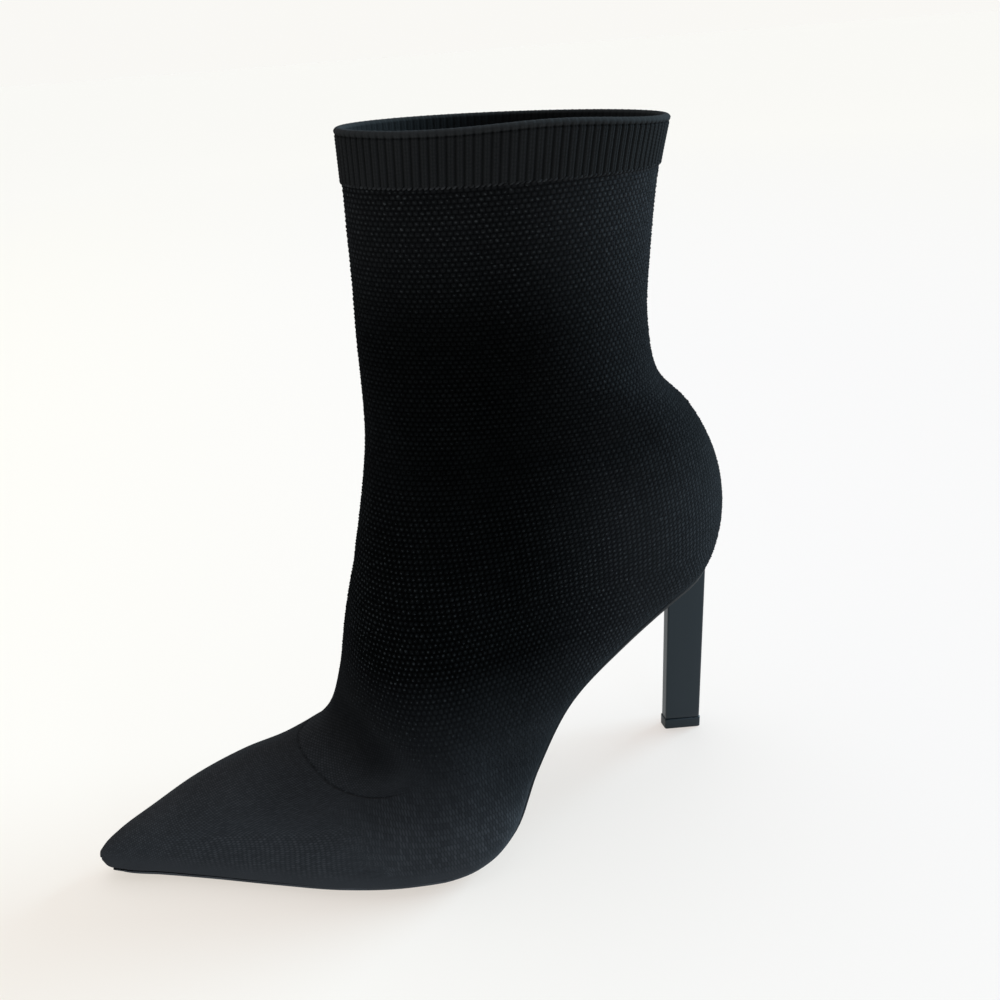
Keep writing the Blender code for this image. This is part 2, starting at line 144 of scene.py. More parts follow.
def halfRings(numbers, side):  # from the sole or back middle to the ridge, with the share of the run
    s = {k: v[:, None] for k, v in sectionAt(numbers).items()}
    half = s["outerHalf"] if side == outer else s["innerHalf"]
    turn = np.linspace(0.0, math.pi, last["finePoints"])[None, :]
    low = turn <= math.pi / 2
    power = np.where(low, s["solePower"], s["crownPower"])
    reach = np.abs(np.cos(turn)) ** (2 / power)
    up = np.where(low, s["belly"] * (1 - reach), s["belly"] + (1 - s["belly"]) * reach)
    across = half * np.abs(np.sin(turn)) ** (2 / power)
    x = -(s["backForward"] + (s["ridgeForward"] - s["backForward"]) * up)
    y = s["backY"] + (s["ridgeY"] - s["backY"]) * up + side * across
    z = s["backZ"] + (s["ridgeZ"] - s["backZ"]) * up
    if side == outer:  # the rim rises a little on the outer side
        lift = bell(up, last["liftMiddle"], last["liftSpread"]) - last["liftStart"]
        z = z + s["outerLift"] * np.maximum(lift, 0.0)
    points = np.stack([x, y, z], axis=-1)
    run = runAcross(points)
    return points, run / run[:, -1:], across


def soleValue(number, column):
    table = np.array(soleShape["rows"])
    return np.interp(number, table[:, 0], table[:, column])


def seatRound(number, end):  # the sole pieces are rounded in plan at the seat end
    along = np.clip((number - soleShape["seat"]) / (end - soleShape["seat"]), 0.0, 1.0)
    rounded = np.maximum(soleShape["leastRound"], np.sqrt(1.0 - along * along))
    return np.where(number <= soleShape["seat"], 1.0, rounded)


# whole form as a grid: number along the boot, way round each ring (0 sole or back, 0.5 ridge, 1 back again)
gridNumbers = np.linspace(0.0, last["collarAt"], last["gridRows"])
gridShares = np.linspace(0.0, 1.0, last["gridColumns"])


def evenHalf(side):  # one half, at even shares of each ring's run
    rings, runs, _ = halfRings(gridNumbers, side)
    return np.stack([np.stack([np.interp(gridShares, run, ring[:, c]) for c in range(3)], axis=-1)
                     for ring, run in zip(rings, runs)])


halfGrid = {side: evenHalf(side) for side in (outer, inner)}
formGrid = np.concatenate([halfGrid[outer], halfGrid[inner][:, ::-1][:, 1:]], axis=1)
gridWays = np.linspace(0.0, 1.0, formGrid.shape[1])
alongGrid = np.gradient(formGrid, axis=0)
aroundGrid = np.gradient(formGrid, axis=1)
aroundGrid[:, 0] = aroundGrid[:, -1] = formGrid[:, 1] - formGrid[:, -2]
normalGrid = unit(np.cross(alongGrid, aroundGrid))
print("last drawn:", formGrid.shape[0], "rings of", formGrid.shape[1], "points")


def onGrid(grid, number, way):
    row = np.clip(number / last["collarAt"], 0.0, 1.0) * (grid.shape[0] - 1)
    col = np.clip(way, 0.0, 1.0) * (grid.shape[1] - 1)
    r0 = np.minimum(row.astype(int), grid.shape[0] - 2)
    c0 = np.minimum(col.astype(int), grid.shape[1] - 2)
    fr = (row - r0)[..., None]
    fc = (col - c0)[..., None]
    low = grid[r0, c0] * (1 - fc) + grid[r0, c0 + 1] * fc
    high = grid[r0 + 1, c0] * (1 - fc) + grid[r0 + 1, c0 + 1] * fc
    return low * (1 - fr) + high * fr


def formAt(number, way):
    number, way = np.broadcast_arrays(np.asarray(number, float), np.asarray(way, float))
    return onGrid(formGrid, number, way), unit(onGrid(normalGrid, number, way))


def shareOf(way):
    return 1.0 - np.abs(2.0 * way - 1.0)


def wayOf(side, share):
    return share / 2 if side == outer else 1.0 - share / 2


def stripHalf(number, side, column, end):  # half width of a sole piece
    s = sectionAt(number)
    half = s["outerHalf"] if side == outer else s["innerHalf"]
    return soleValue(number, column) * half * seatRound(number, end)


def shareAcross(number, side, distance):  # share of the half ring at distances from the sole's middle
    _, runs, across = halfRings(number, side)
    found = np.empty_like(distance)
    for k in range(len(number)):
        widest = int(np.argmax(across[k])) + 1
        found[k] = np.interp(distance[k], across[k, :widest], runs[k, :widest])
    return found


vampShares = np.linspace(0.0, 1.0, last["vampPoints"])
vampLeans = fromTable(vampShares, last["vampCurve"])
vampMean = np.ones(last["vampWindow"]) / last["vampWindow"]
for _ in range(last["vampRounds"]):  # round off the corners of the measured curve
    vampLeans = np.convolve(np.pad(vampLeans, last["vampWindow"] // 2, mode="edge"), vampMean, mode="valid")


def vampLean(number, share):  # rings near the vamp edge lean back down both sides
    lean = np.interp(share, vampShares, vampLeans)
    return number + lean * np.maximum(0.0, 1.0 - np.abs(number - last["vampAt"]) / last["vampReach"])


def nearLine(points, line, chunk=20000):  # distance from each point to a line's dense points
    flat = points.reshape(-1, 3)
    best = np.empty(len(flat))
    for start in range(0, len(flat), chunk):
        part = flat[start:start + chunk]
        gap = ((part[:, None, :] - line[None, :, :]) ** 2).sum(axis=2)
        best[start:start + chunk] = np.sqrt(gap.min(axis=1))
    return best.reshape(points.shape[:-1])


def densify(points, step):
    points = np.array(points, float)
    run = runAlong(points)
    at = np.linspace(0.0, run[-1], max(2, int(run[-1] / step) + 1))
    return np.stack([np.interp(at, run, points[:, c]) for c in range(3)], axis=1)


# line where the knit meets the sole, both sides and round the seat
soleLine = {}
lineNumbers = np.linspace(soleShape["first"], soleShape["lastAt"], soleShape["linePoints"])
for side in (outer, inner):
    reach = stripHalf(lineNumbers, side, soleShape["soleColumn"], soleShape["lastAt"])
    soleLine[side] = shareAcross(lineNumbers, side, reach[:, None])[:, 0]
solePath = np.concatenate([formAt(lineNumbers, wayOf(side, soleLine[side]))[0] for side in (outer, inner)])

# folds of the leg, mm: each a soft trough or ridge along a line
folds = {
    "ankle": {"depth": -1.15, "width": 4.0,
              "line": ((-92, -25, 153.5), (-82, -28, 152.6), (-66, -30.5, 151.6), (-50, -31.5, 150.8),
                       (-34, -30, 151.4), (-22, -26, 152.2))},
    "ankleLip": {"depth": 0.5, "width": 4.5,
                 "line": ((-60, -31, 141.5), (-46, -32, 142.0), (-32, -30.5, 143.0), (-22, -27.5, 144.0))},
    "innerAnkle": {"depth": -0.8, "width": 4.5,
                   "line": ((-86, 27, 153.0), (-66, 30.5, 151.5), (-46, 31.0, 151.0), (-30, 28.5, 152.0))},
    "shaftBreak": {"depth": -0.5, "width": 6.0,
                   "line": ((-100, -20, 178.0), (-84, -28, 176.0), (-66, -31, 172.0), (-50, -31, 170.0))},
    "instepBreak": {"depth": -0.5, "width": 5.5,
                    "line": ((-118, -14, 128.0), (-108, -24, 122.0), (-94, -31, 118.0), (-80, -34, 117.0))},
    "frontBreak": {"depth": -0.45, "width": 5.0,
                   "line": ((-124, 10, 112.0), (-126, 0, 110.0), (-124, -10, 110.0), (-116, -22, 107.0))},
}
foldStep, foldEnd = 1.2, 2.6  # point spacing in mm, length of the soft ends in widths
for fold in folds.values():
    fold["path"] = densify(fold["line"], foldStep)


def foldAt(points):
    push = np.zeros(points.shape[:-1])
    for fold in folds.values():
        near = nearLine(points, fold["path"])
        fade = smooth(nearLine(points, fold["path"][[0, -1]]) / (foldEnd * fold["width"]))
        push = push + fold["depth"] * bell(near, 0.0, fold["width"]) * fade
    return push


def skinAt(number, way):  # outside of the knit, folds included
    point, normal = formAt(number, way)
    return point + normal * foldAt(point)[..., None], normal


def addObject(name, data):
    item = bpy.data.objects.new(name, data)
    bpy.context.scene.collection.objects.link(item)
    return item


def makePiece(name, points, faces, material, node, uvs=None, marks=None):
    mesh = bpy.data.meshes.new(name)
    points = np.asarray(points, float).reshape(-1, 3)
    mesh.vertices.add(len(points))
    mesh.vertices.foreach_set("co", (points * mm).astype(np.float32).ravel())
    faces = [np.asarray(f, np.int32) for f in faces]
    corners = np.concatenate([f.ravel() for f in faces])
    sizes = np.concatenate([np.full(len(f), f.shape[1], np.int32) for f in faces])
    starts = np.concatenate([[0], np.cumsum(sizes)[:-1]]).astype(np.int32)
    mesh.loops.add(len(corners))
    mesh.loops.foreach_set("vertex_index", corners)
    mesh.polygons.add(len(sizes))
    mesh.polygons.foreach_set("loop_start", starts)
    mesh.polygons.foreach_set("use_smooth", np.ones(len(sizes), bool))
    mesh.update(calc_edges=True)
    for key, values in (uvs or {}).items():
        layer = mesh.uv_layers.new(name=key)
        layer.data.foreach_set("uv", np.asarray(values, np.float32).reshape(-1, 2)[corners].ravel())
    for key, values in (marks or {}).items():
        mark = mesh.attributes.new(key, "FLOAT", "POINT")
        mark.data.foreach_set("value", np.asarray(values, np.float32).ravel())
    mesh.materials.append(material)
    piece = addObject(name, mesh)
    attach(piece, "root")
    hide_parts(node)
    print("piece", name, int((sizes - 2).sum()), "triangles")


def gridFaces(rows, columns):
    a = np.arange(rows - 1)[:, None] * columns + np.arange(columns - 1)[None, :]
    return np.stack([a, a + columns, a + columns + 1, a + 1], axis=-1).reshape(-1, 4)


def tipCap(rows, columns):  # fan from the point after a grid to its first row
    k = np.arange(columns - 1)
    return np.stack([np.full(columns - 1, rows * columns), k, k + 1], axis=1)


def withTip(values, end):  # a grid's values, and one for the point after it
    return np.concatenate([np.asarray(values).reshape(-1, *np.shape(end)), np.asarray([end])])


def closedStrip(loop):  # tube of rings with flat ends
    rows, size = loop.shape[:2]
    closed = np.concatenate([loop, loop[:, :1]], axis=1)
    k = np.arange(1, size - 1)
    hub = np.zeros(size - 2, int)
    front = np.stack([k, k + 1, hub], axis=1)
    back = np.stack([k + 1, k, hub], axis=1) + (rows - 1) * (size + 1)
    return closed, (gridFaces(rows, size + 1)[:, ::-1], front, back)


# shader groups
def newGroup(name, inputs, outputs):
    group = bpy.data.node_groups.new(name, "ShaderNodeTree")
    group.interface.new_socket("Coord", in_out="INPUT", socket_type="NodeSocketVector")
    for label, value in inputs:
        group.interface.new_socket(label, in_out="INPUT", socket_type="NodeSocketFloat").default_value = value
    for label in outputs:
        group.interface.new_socket(label, in_out="OUTPUT", socket_type="NodeSocketFloat")
    return group, group.nodes.new("NodeGroupInput").outputs, group.nodes.new("NodeGroupOutput").inputs


def feed(tree, socket, value):  # a number is set, an output is linked
    if isinstance(value, (int, float)):
        socket.default_value = value
    else:
        tree.links.new(value, socket)


def calc(tree, operation, a, b=None):
    node = tree.nodes.new("ShaderNodeMath")
    node.operation = operation
    feed(tree, node.inputs[0], a)
    if b is not None:
        feed(tree, node.inputs[1], b)
    return node.outputs[0]


def add(tree, a, b):
    return calc(tree, "ADD", a, b)


def minus(tree, a, b):
    return calc(tree, "SUBTRACT", a, b)


def times(tree, a, b):
    return calc(tree, "MULTIPLY", a, b)


def mixTone(tree, first, share, second):  # weighed mean of two values
    return add(tree, times(tree, first, share), times(tree, second, 1.0 - share))


def splitXyz(tree, coord):
    node = tree.nodes.new("ShaderNodeSeparateXYZ")
    tree.links.new(coord, node.inputs[0])
    return node.outputs


def noise(tree, coord, scale, detail):
    node = tree.nodes.new("ShaderNodeTexNoise")
    node.inputs["Detail"].default_value = detail
    tree.links.new(coord, node.inputs["Vector"])
    tree.links.new(scale, node.inputs["Scale"])
    return node.outputs[0]


def stitchGroup():  # rounded stitches laid like bricks
    inputs = (("Pitch", 1.0), ("Row", 1.0), ("Slant", 0.0), ("Uneven", 0.0), ("Taper", 3.2))
    group, given, made = newGroup("stitchRelief", inputs, ("Height",))
    x, y, _ = splitXyz(group, given["Coord"])
    v = calc(group, "DIVIDE", y, given["Row"])
    u = calc(group, "DIVIDE", add(group, x, times(group, y, given["Slant"])), given["Pitch"])
    row = calc(group, "FLOOR", v)
    u = add(group, u, times(group, calc(group, "FLOORED_MODULO", row, 2.0), 0.5))
    cell = group.nodes.new("ShaderNodeCombineXYZ")
    group.links.new(calc(group, "FLOOR", u), cell.inputs[0])
    group.links.new(row, cell.inputs[1])
    chance = group.nodes.new("ShaderNodeTexWhiteNoise")
    chance.noise_dimensions = "2D"
    group.links.new(cell.outputs[0], chance.inputs["Vector"])
    full = minus(group, 1.0, times(group, chance.outputs["Value"], given["Uneven"]))
    across = minus(group, calc(group, "FRACT", u), 0.5)
    along = minus(group, calc(group, "FRACT", v), 0.5)
    ridge = minus(group, 1.0, times(group, times(group, across, across), 4.0))
    swell = minus(group, 1.0, times(group, times(group, along, along), given["Taper"]))
    group.links.new(times(group, times(group, ridge, swell), full), made["Height"])
    return group


def fuzzGroup():  # loose fibres: fine height and a slow change of shade
    group, given, made = newGroup("yarnFuzz", (("Fibre", 3.0), ("Cloud", 0.06)), ("Height", "Shade"))
    fibre = noise(group, given["Coord"], given["Fibre"], 3.0)
    cloud = noise(group, given["Coord"], given["Cloud"], 2.0)
    group.links.new(fibre, made["Height"])
    group.links.new(mixTone(group, fibre, 0.55, cloud), made["Shade"])
    return group


def scuffGroup():  # faint rubbing and dust on hard surfaces
    group, given, made = newGroup("scuffs", (("Size", 120.0), ("Streak", 6.0)), ("Shade", "Grain"))
    factor = group.nodes.new("ShaderNodeCombineXYZ")
    factor.inputs[0].default_value = 1.0
    factor.inputs[1].default_value = 1.0
    group.links.new(calc(group, "DIVIDE", 1.0, given["Streak"]), factor.inputs[2])
    squeeze = group.nodes.new("ShaderNodeVectorMath")
    squeeze.operation = "MULTIPLY"
    group.links.new(given["Coord"], squeeze.inputs[0])
    group.links.new(factor.outputs[0], squeeze.inputs[1])
    group.links.new(noise(group, squeeze.outputs[0], given["Size"], 4.0), made["Shade"])
    fineSize = times(group, given["Size"], 9.0)
    group.links.new(noise(group, given["Coord"], fineSize, 2.0), made["Grain"])
    return group


stitchRelief = stitchGroup()
yarnFuzz = fuzzGroup()
scuffs = scuffGroup()
print("shader groups ready")


def newMaterial(name):
    material = bpy.data.materials.new(name)
    material.use_nodes = True
    tree = material.node_tree
    return material, tree, tree.nodes["Principled BSDF"]


def place(tree, group, **values):
    node = tree.nodes.new("ShaderNodeGroup")
    node.node_tree = group
    for key, value in values.items():
        feed(tree, node.inputs[key], value)
    return node.outputs


def uvCoord(tree, name):
    node = tree.nodes.new("ShaderNodeUVMap")
    node.uv_map = name
    return node.outputs[0]


def markValue(tree, name):
    node = tree.nodes.new("ShaderNodeAttribute")
    node.attribute_name = name
    return node.outputs["Fac"]


def ramp(tree, value, stops, colours):
    node = tree.nodes.new("ShaderNodeValToRGB")
    tree.links.new(value, node.inputs[0])
    for element, at, colour in zip(node.color_ramp.elements, stops, colours):
        element.position = at
        element.color = (*colour, 1.0)
    return node.outputs[0]


def blend(tree, factor, first, second):
    node = tree.nodes.new("ShaderNodeMix")
    node.data_type = "RGBA"
    tree.links.new(factor, node.inputs["Factor"])
    for socket, colour in zip([i for i in node.inputs if i.type == "RGBA"], (first, second)):
        tree.links.new(colour, socket)
    return [o for o in node.outputs if o.type == "RGBA"][0]


def span(tree, value, low, high, start=0.0, stop=1.0):
    node = tree.nodes.new("ShaderNodeMapRange")
    node.inputs["From Min"].default_value = start
    node.inputs["From Max"].default_value = stop
    node.inputs["To Min"].default_value = low
    node.inputs["To Max"].default_value = high
    tree.links.new(value, node.inputs["Value"])
    return node.outputs[0]


def dress(tree, shader, colour, shade, rough, height):  # the end of every material, with height in mm
    tree.links.new(colour, shader.inputs["Base Color"])
    tree.links.new(span(tree, shade, *rough), shader.inputs["Roughness"])
    node = tree.nodes.new("ShaderNodeBump")
    node.inputs["Strength"].default_value = 1.0
    node.inputs["Distance"].default_value = mm
    tree.links.new(height, node.inputs["Height"])
    tree.links.new(node.outputs[0], shader.inputs["Normal"])


# what all the yarns share
yarn = {"cloud": 0.05, "markShare": 0.6, "stops": (0.1, 0.9), "rough": (0.68, 0.92),
        "specular": 0.0, "sheenRough": 0.26, "uvAcross": (0.8, 0.6, 0.0)}


def yarnShader(shader, weight, tint):
    shader.inputs["Specular IOR Level"].default_value = yarn["specular"]
    shader.inputs["Sheen Weight"].default_value = weight
    shader.inputs["Sheen Roughness"].default_value = yarn["sheenRough"]
    shader.inputs["Sheen Tint"].default_value = (*tint, 1.0)


def yarnMaterial(name, look):
    material, tree, shader = newMaterial(name)
    fuzz = place(tree, yarnFuzz, Coord=uvCoord(tree, "yarnMm"), Fibre=look["fibre"], Cloud=yarn["cloud"])
    # the mark holds the yarn's own random tone together with painted shade and light
    tone = mixTone(tree, markValue(tree, "toneAndPaintedShadeMark"), yarn["markShare"], fuzz["Shade"])
    colour = ramp(tree, tone, yarn["stops"], (look["dark"], look["light"]))
    height = times(tree, fuzz["Height"], look["fuzzRelief"])
    dress(tree, shader, colour, fuzz["Shade"], yarn["rough"], height)
    yarnShader(shader, look["sheen"], look["tint"])
    return material


# rows of stitches, mm: height of a row and the step to the next; columns run from the ridge round to the back
knitRows = {
    "pitch": 1.85, "first": 4.0, "high": 238.0, "straightBelow": 100.0, "middleX": -100.0,
    "steps": ((4.0, 1.85), (100.0, 1.80), (125.0, 1.72), (160.0, 1.56), (190.0, 1.46), (240.0, 1.42)),
}
rowHeights = [knitRows["first"]]
while rowHeights[-1] < knitRows["high"]:
    rowHeights.append(rowHeights[-1] + float(fromTable(rowHeights[-1], knitRows["steps"])))
rowHeights = np.array(rowHeights)


def rowLines(side):  # where each row crosses the grid's columns: section number and length from the ridge
    grid = halfGrid[side]
    col = np.arange(grid.shape[1])
    numbers, runs, middles = [], [], []
    for z in rowHeights:
        below = grid[:, :, 2] < z
        low = np.clip(len(grid) - 1 - np.argmax(below[::-1], axis=0), 0, len(grid) - 2)
        low = np.where(below.any(axis=0), low, 0)
        z0, z1 = grid[low, col, 2], grid[low + 1, col, 2]
        t = np.clip((z - z0) / np.where(np.abs(z1 - z0) < 1e-6, 1.0, z1 - z0), 0.0, 1.0)
        line = grid[low, col] * (1 - t)[:, None] + grid[low + 1, col] * t[:, None]
        run = runAlong(line[::-1])
        middles.append(np.interp(knitRows["middleX"], line[::-1, 0], run))
        runs.append(run[::-1])
        numbers.append(gridNumbers[low] + t * (gridNumbers[1] - gridNumbers[0]))
    shift = np.array(middles) - np.interp(knitRows["straightBelow"], rowHeights, middles)
    shift[rowHeights >= knitRows["straightBelow"]] = 0.0  # columns stay upright on the foot
    return np.array(numbers), np.array(runs) - shift[:, None]


rowTable = {side: rowLines(side) for side in (outer, inner)}


def cellUv(z):  # stitch column and row for the points of the whole grid width
    row = np.interp(z, rowHeights, np.arange(len(rowHeights)))
    column = np.empty_like(z)
    count = len(gridShares)
    for c in range(z.shape[1]):
        side, k = (outer, c) if c < count else (inner, 2 * count - 2 - c)
        column[:, c] = -side * np.interp(z[:, c], rowHeights, rowTable[side][1][:, k]) / knitRows["pitch"]
    return np.stack([column, row], axis=-1) + 0.5


# cloth of the foot and leg: four kinds of stitch, and plain yarn along the sole
knitLook = {
    # painted light and shade: the foot colours are a lit copy of the knit, the leg colours a shaded copy of
    # it
    "shadedLegDark": (0.0003, 0.0003, 0.0003), "shadedLegLight": (0.0042, 0.0046, 0.0048),
    "litFootDark": (0.0160, 0.0172, 0.0190), "litFootLight": (0.0510, 0.0540, 0.0600),
    "sheen": 0.02, "tint": (0.78, 0.90, 1.0), "rough": (0.78, 0.95), "stops": (0.15, 0.85),
    "kinds": ("pitch", "row", "slant", "taper", "uneven", "relief", "weight"),
    "leg": (1.0, 1.0, 0.0, 3.4, 0.45, 0.30, 1.25), "side": (0.6, 1.3, 0.15, 1.8, 0.7, 0.15, 0.7),
    "instep": (1.35, 1.05, 0.0, 3.2, 0.5, 0.10, 0.85), "toe": (0.80, 1.0, 0.55, 3.2, 0.6, 0.09, 0.8),
    "plain": 0.42, "fuzzRelief": 0.10, "fibre": 2.6,
}


def knitMaterial():
    look = knitLook
    material, tree, shader = newMaterial("knitCloth")
    cell, toeUv = uvCoord(tree, "stitchCell"), uvCoord(tree, "toeMm")
    fuzz = place(tree, yarnFuzz, Coord=toeUv, Fibre=look["fibre"], Cloud=yarn["cloud"])
    crest = times(tree, markValue(tree, "plainMark"), look["plain"])
    height = times(tree, fuzz["Height"], look["fuzzRelief"])
    for key, coord in (("leg", cell), ("side", cell), ("instep", toeUv), ("toe", toeUv)):
        kind = dict(zip(look["kinds"], look[key]))
        laid = place(tree, stitchRelief, Coord=coord, Pitch=kind["pitch"], Row=kind["row"],
                     Slant=kind["slant"], Uneven=kind["uneven"], Taper=kind["taper"])
        value = times(tree, times(tree, markValue(tree, key + "Mark"), kind["weight"]), laid["Height"])
        crest = add(tree, crest, value)
        height = add(tree, height, times(tree, value, kind["relief"]))
    # painted shade: stitch crests lighter, the gaps between stitches darker
    tone = mixTone(tree, crest, yarn["markShare"], fuzz["Shade"])
    # painted light and shade: the lit foot ramp and the shaded leg ramp are blended by the painted shade mark
    foot = ramp(tree, tone, look["stops"], (look["litFootDark"], look["litFootLight"]))
    leg = ramp(tree, tone, look["stops"], (look["shadedLegDark"], look["shadedLegLight"]))
    colour = blend(tree, markValue(tree, "paintedShadeMark"), foot, leg)
    dress(tree, shader, colour, fuzz["Shade"], look["rough"], height)
    yarnShader(shader, look["sheen"], look["tint"])
    return material


# knit skin of the foot and leg, mm; a pair is the start and length of a soft step
knitSkin = {
    "ringStep": 0.1, "topAt": 22.26, "underSole": 0.07, "closedFrom": 0.25, "tipCell": (0.0, 3.0),
    "vampRings": (-0.06, -0.045, -0.03, -0.018, -0.008, 0.003, 0.014, 0.025, 0.036, 0.05, 0.065),
    "stepProud": 0.45, "stepShare": (0.61, 0.08), "stepNumber": (-0.022, 0.034),
    "groove": 0.30, "grooveShare": (0.60, 0.08), "grooveAt": (0.022, 0.020),
    "legEdge": ((-135, 78), (-110, 62), (-94, 57), (-79, 54), (-64, 50), (-45, 30), (-20, 12)),
    "legSoft": (-28.0, 56.0), "behind": 0.03, "instepShare": (0.46, 0.30), "toeForward": (130.0, 28.0),
    "toeShare": (0.62, 0.12), "edgeBand": (2.5, 7.5),
}

# painted shade: how far the lit foot colours give way to the shaded leg colours, by place
paintedShade = {
    "side": ((10, -0.10), (15, 0.0), (24, 0.12), (33, 0.36), (42, 0.50), (51, 0.64), (60, 0.79), (84, 1.0)),
    "shank": 0.22, "shankX": (-105.0, 20.0), "shankFrom": (12.0, 22.0), "shankTo": (36.0, 20.0),
    "toeForward": (150.0, 40.0), "toeHeight": (14.0, 70.0),
    "instep": (0.40, 0.55), "instepRise": 1.7,
    "hollow": 0.11, "hollowX": (-132.0, 11.0), "hollowZ": (52.0, 11.0),
    "back": ((60, 0.34), (105, 0.41), (125, 0.40), (150, 0.20), (175, 0.26), (200, 0.36)),
    "backX": (-80.0, 70.0),
    "top": 0.16, "topZ": (185.0, 45.0), "shin": 0.07, "shinForward": (95.0, 30.0), "shinZ": (110.0, 50.0),
}


def ringPlan():
    numbers = list(np.arange(0.0, knitSkin["topAt"], knitSkin["ringStep"])) + [knitSkin["topAt"]]
    numbers += [last["vampAt"] + d for d in knitSkin["vampRings"]]
    return np.unique(np.round(numbers, 4))


def stepAt(number, share):  # the toe piece stands proud of the leg at the vamp edge
    past = number - last["vampAt"]
    proud = knitSkin["stepProud"] * rise(share, *knitSkin["stepShare"])
    proud = proud * (1.0 - rise(past, *knitSkin["stepNumber"]))
    groove = knitSkin["groove"] * bell(past, *knitSkin["grooveAt"]) * rise(share, *knitSkin["grooveShare"])
    return proud - groove


# painted shade and light: darker up the leg, on the instep and at the waist; lighter at the toe, the back,
# the top and the front of the shin
def paintedShadeTone(x, z, number, instep):
    side = fromTable(z, paintedShade["side"])
    shank = rise(x, *paintedShade["shankX"]) * rise(z, *paintedShade["shankFrom"]) * (1.0 - rise(z, *paintedShade["shankTo"]))
    side = side + paintedShade["shank"] * shank
    tone = side + (rise(z, *paintedShade["toeHeight"]) - side) * rise(-x, *paintedShade["toeForward"])
    base, more = paintedShade["instep"]
    tone = np.maximum(tone, (base + more * rise(number, last["vampAt"], paintedShade["instepRise"])) * instep)
    hollow = bell(x, *paintedShade["hollowX"]) * bell(z, *paintedShade["hollowZ"])  # painted light beside the vamp edge, lifting the painted shade there
    tone = tone - paintedShade["hollow"] * hollow
    tone = tone * (1.0 - fromTable(z, paintedShade["back"]) * rise(x, *paintedShade["backX"]))
    tone = tone - paintedShade["top"] * rise(z, *paintedShade["topZ"])
    return tone - paintedShade["shin"] * rise(-x, *paintedShade["shinForward"]) * rise(z, *paintedShade["shinZ"])


def areaMarks(point, number, share):  # where each kind of stitch lies
    x, z = point[..., 0], point[..., 2]
    raised = rise(z - fromTable(x, knitSkin["legEdge"]), *knitSkin["legSoft"])
    behind = rise(number, last["vampAt"], knitSkin["behind"])
    instep = rise(share, *knitSkin["instepShare"]) * behind * (1.0 - raised)
    toe = np.maximum(rise(-x, *knitSkin["toeForward"]), rise(share, *knitSkin["toeShare"]) * (1.0 - behind))
    toe = toe * (1.0 - raised) * (1.0 - instep)
    band = rise(nearLine(point, solePath), *knitSkin["edgeBand"])
    kinds = {"leg": raised, "instep": instep, "toe": toe, "side": 1.0 - raised - instep - toe}
    marks = {key: value * band for key, value in kinds.items()}
    return {**marks, "plain": 1.0 - band, "paintedShade": paintedShadeTone(x, z, number, instep)}


def buildKnitSkin(material):
    numbers = ringPlan()
    shares = shareOf(gridWays)
    rings = vampLean(numbers[:, None], shares[None, :])
    point, normal = skinAt(rings, gridWays[None, :])
    point = point + normal * stepAt(numbers[:, None], shares[None, :])[..., None]
    areas = areaMarks(point, numbers[:, None], shares[None, :])
    middle = (len(gridWays) - 1) // 2
    arc = runAcross(point)
    ridge = runAlong(point[:, middle])[:, None]  # rows stay even on the steep instep
    toeUv = np.stack([np.broadcast_to(ridge, arc.shape), arc - arc[:, middle:middle + 1]], axis=-1)
    foot = vampLean(numbers, 0.0)
    nearer = np.minimum(soleLine[outer], soleLine[inner])
    edge = np.interp(foot, lineNumbers, nearer, left=-1.0, right=-1.0) - knitSkin["underSole"]
    edge[foot > soleShape["lastAt"] - knitSkin["closedFrom"]] = -1.0  # closed over the end of the sole
    hidden = (shares[None, :] < edge[:, None]).ravel()
    faces = gridFaces(*rings.shape)
    faces = faces[~hidden[faces].all(axis=1)]
    cells = withTip(cellUv(point[..., 2]), knitSkin["tipCell"])
    uvs = {"stitchCell": cells, "toeMm": withTip(toeUv, (0.0, 0.0))}
    marks = {key + "Mark": withTip(values, float(key == "toe")) for key, values in areas.items()}
    makePiece("knitSkin", withTip(point, point[0].mean(axis=0)), (faces, tipCap(*rings.shape)), material,
              "upper", uvs, marks)


buildKnitSkin(knitMaterial())

# raised dots of the leg, in rows round it
dots = {
    "halfAcross": 0.47, "halfUp": 0.31, "relief": 0.20, "stray": (0.009, 0.0005), "lean": (0.30, 0.40),
    "jitter": 0.18, "reliefJitter": 0.22, "toneJitter": 0.22, "seed": 11, "topAt": 22.18, "keep": 0.16,
    "ridgeStart": {outer: -0.01, inner: 0.25}, "backEnd": 0.25,  # a dot on the ridge is the outer side's
    "ways": {outer: (0.0, 0.5), inner: (0.5, 1.0)},
    "tall": ((60.0, 1.5), (140.0, 1.0)), "slim": ((60.0, 0.72), (140.0, 1.0)),
    "sizes": (0.7, 1.35), "reliefs": (0.5, 1.5), "weakSize": 0.72, "weakRelief": 0.35,
    "inFold": 0.55, "foldDepth": 1.2, "behind": (0.02, 0.25),
    # painted shade on the dots: darker mid-leg and towards the front, lighter at the back and the top
    "tones": ((40.0, 0.9), (80.0, 0.80), (110.0, 0.85), (130.0, 0.60), (150.0, 0.36), (195.0, 0.48),
              (225.0, 0.95), (240.0, 1.1)),
    "paintedShadeAcross": ((-125.0, 0.90), (-100.0, 0.48), (-80.0, 0.34), (-62.0, 0.66), (-45.0, 1.30), (-28.0, 1.15),
              (-15.0, 1.25)),
    "paintedShadeEndsAbove": (170.0, 50.0), "extraPaintedShade": 0.17, "toneMiddle": 0.5, "toneRange": (0.28, 1.0),
    "dome": {"sides": 6, "sink": 0.06, "paintedRingShade": (0.40, 0.9, 1.2)},
    "dark": (0.0010, 0.0011, 0.0012), "light": (0.0405, 0.0443, 0.0472), "fuzzRelief": 0.08, "fibre": 2.4,
    "sheen": 0.03, "tint": (0.78, 0.90, 1.0),
}
domeShoulder = (0.68, 0.70)  # width and height of a dome's middle ring


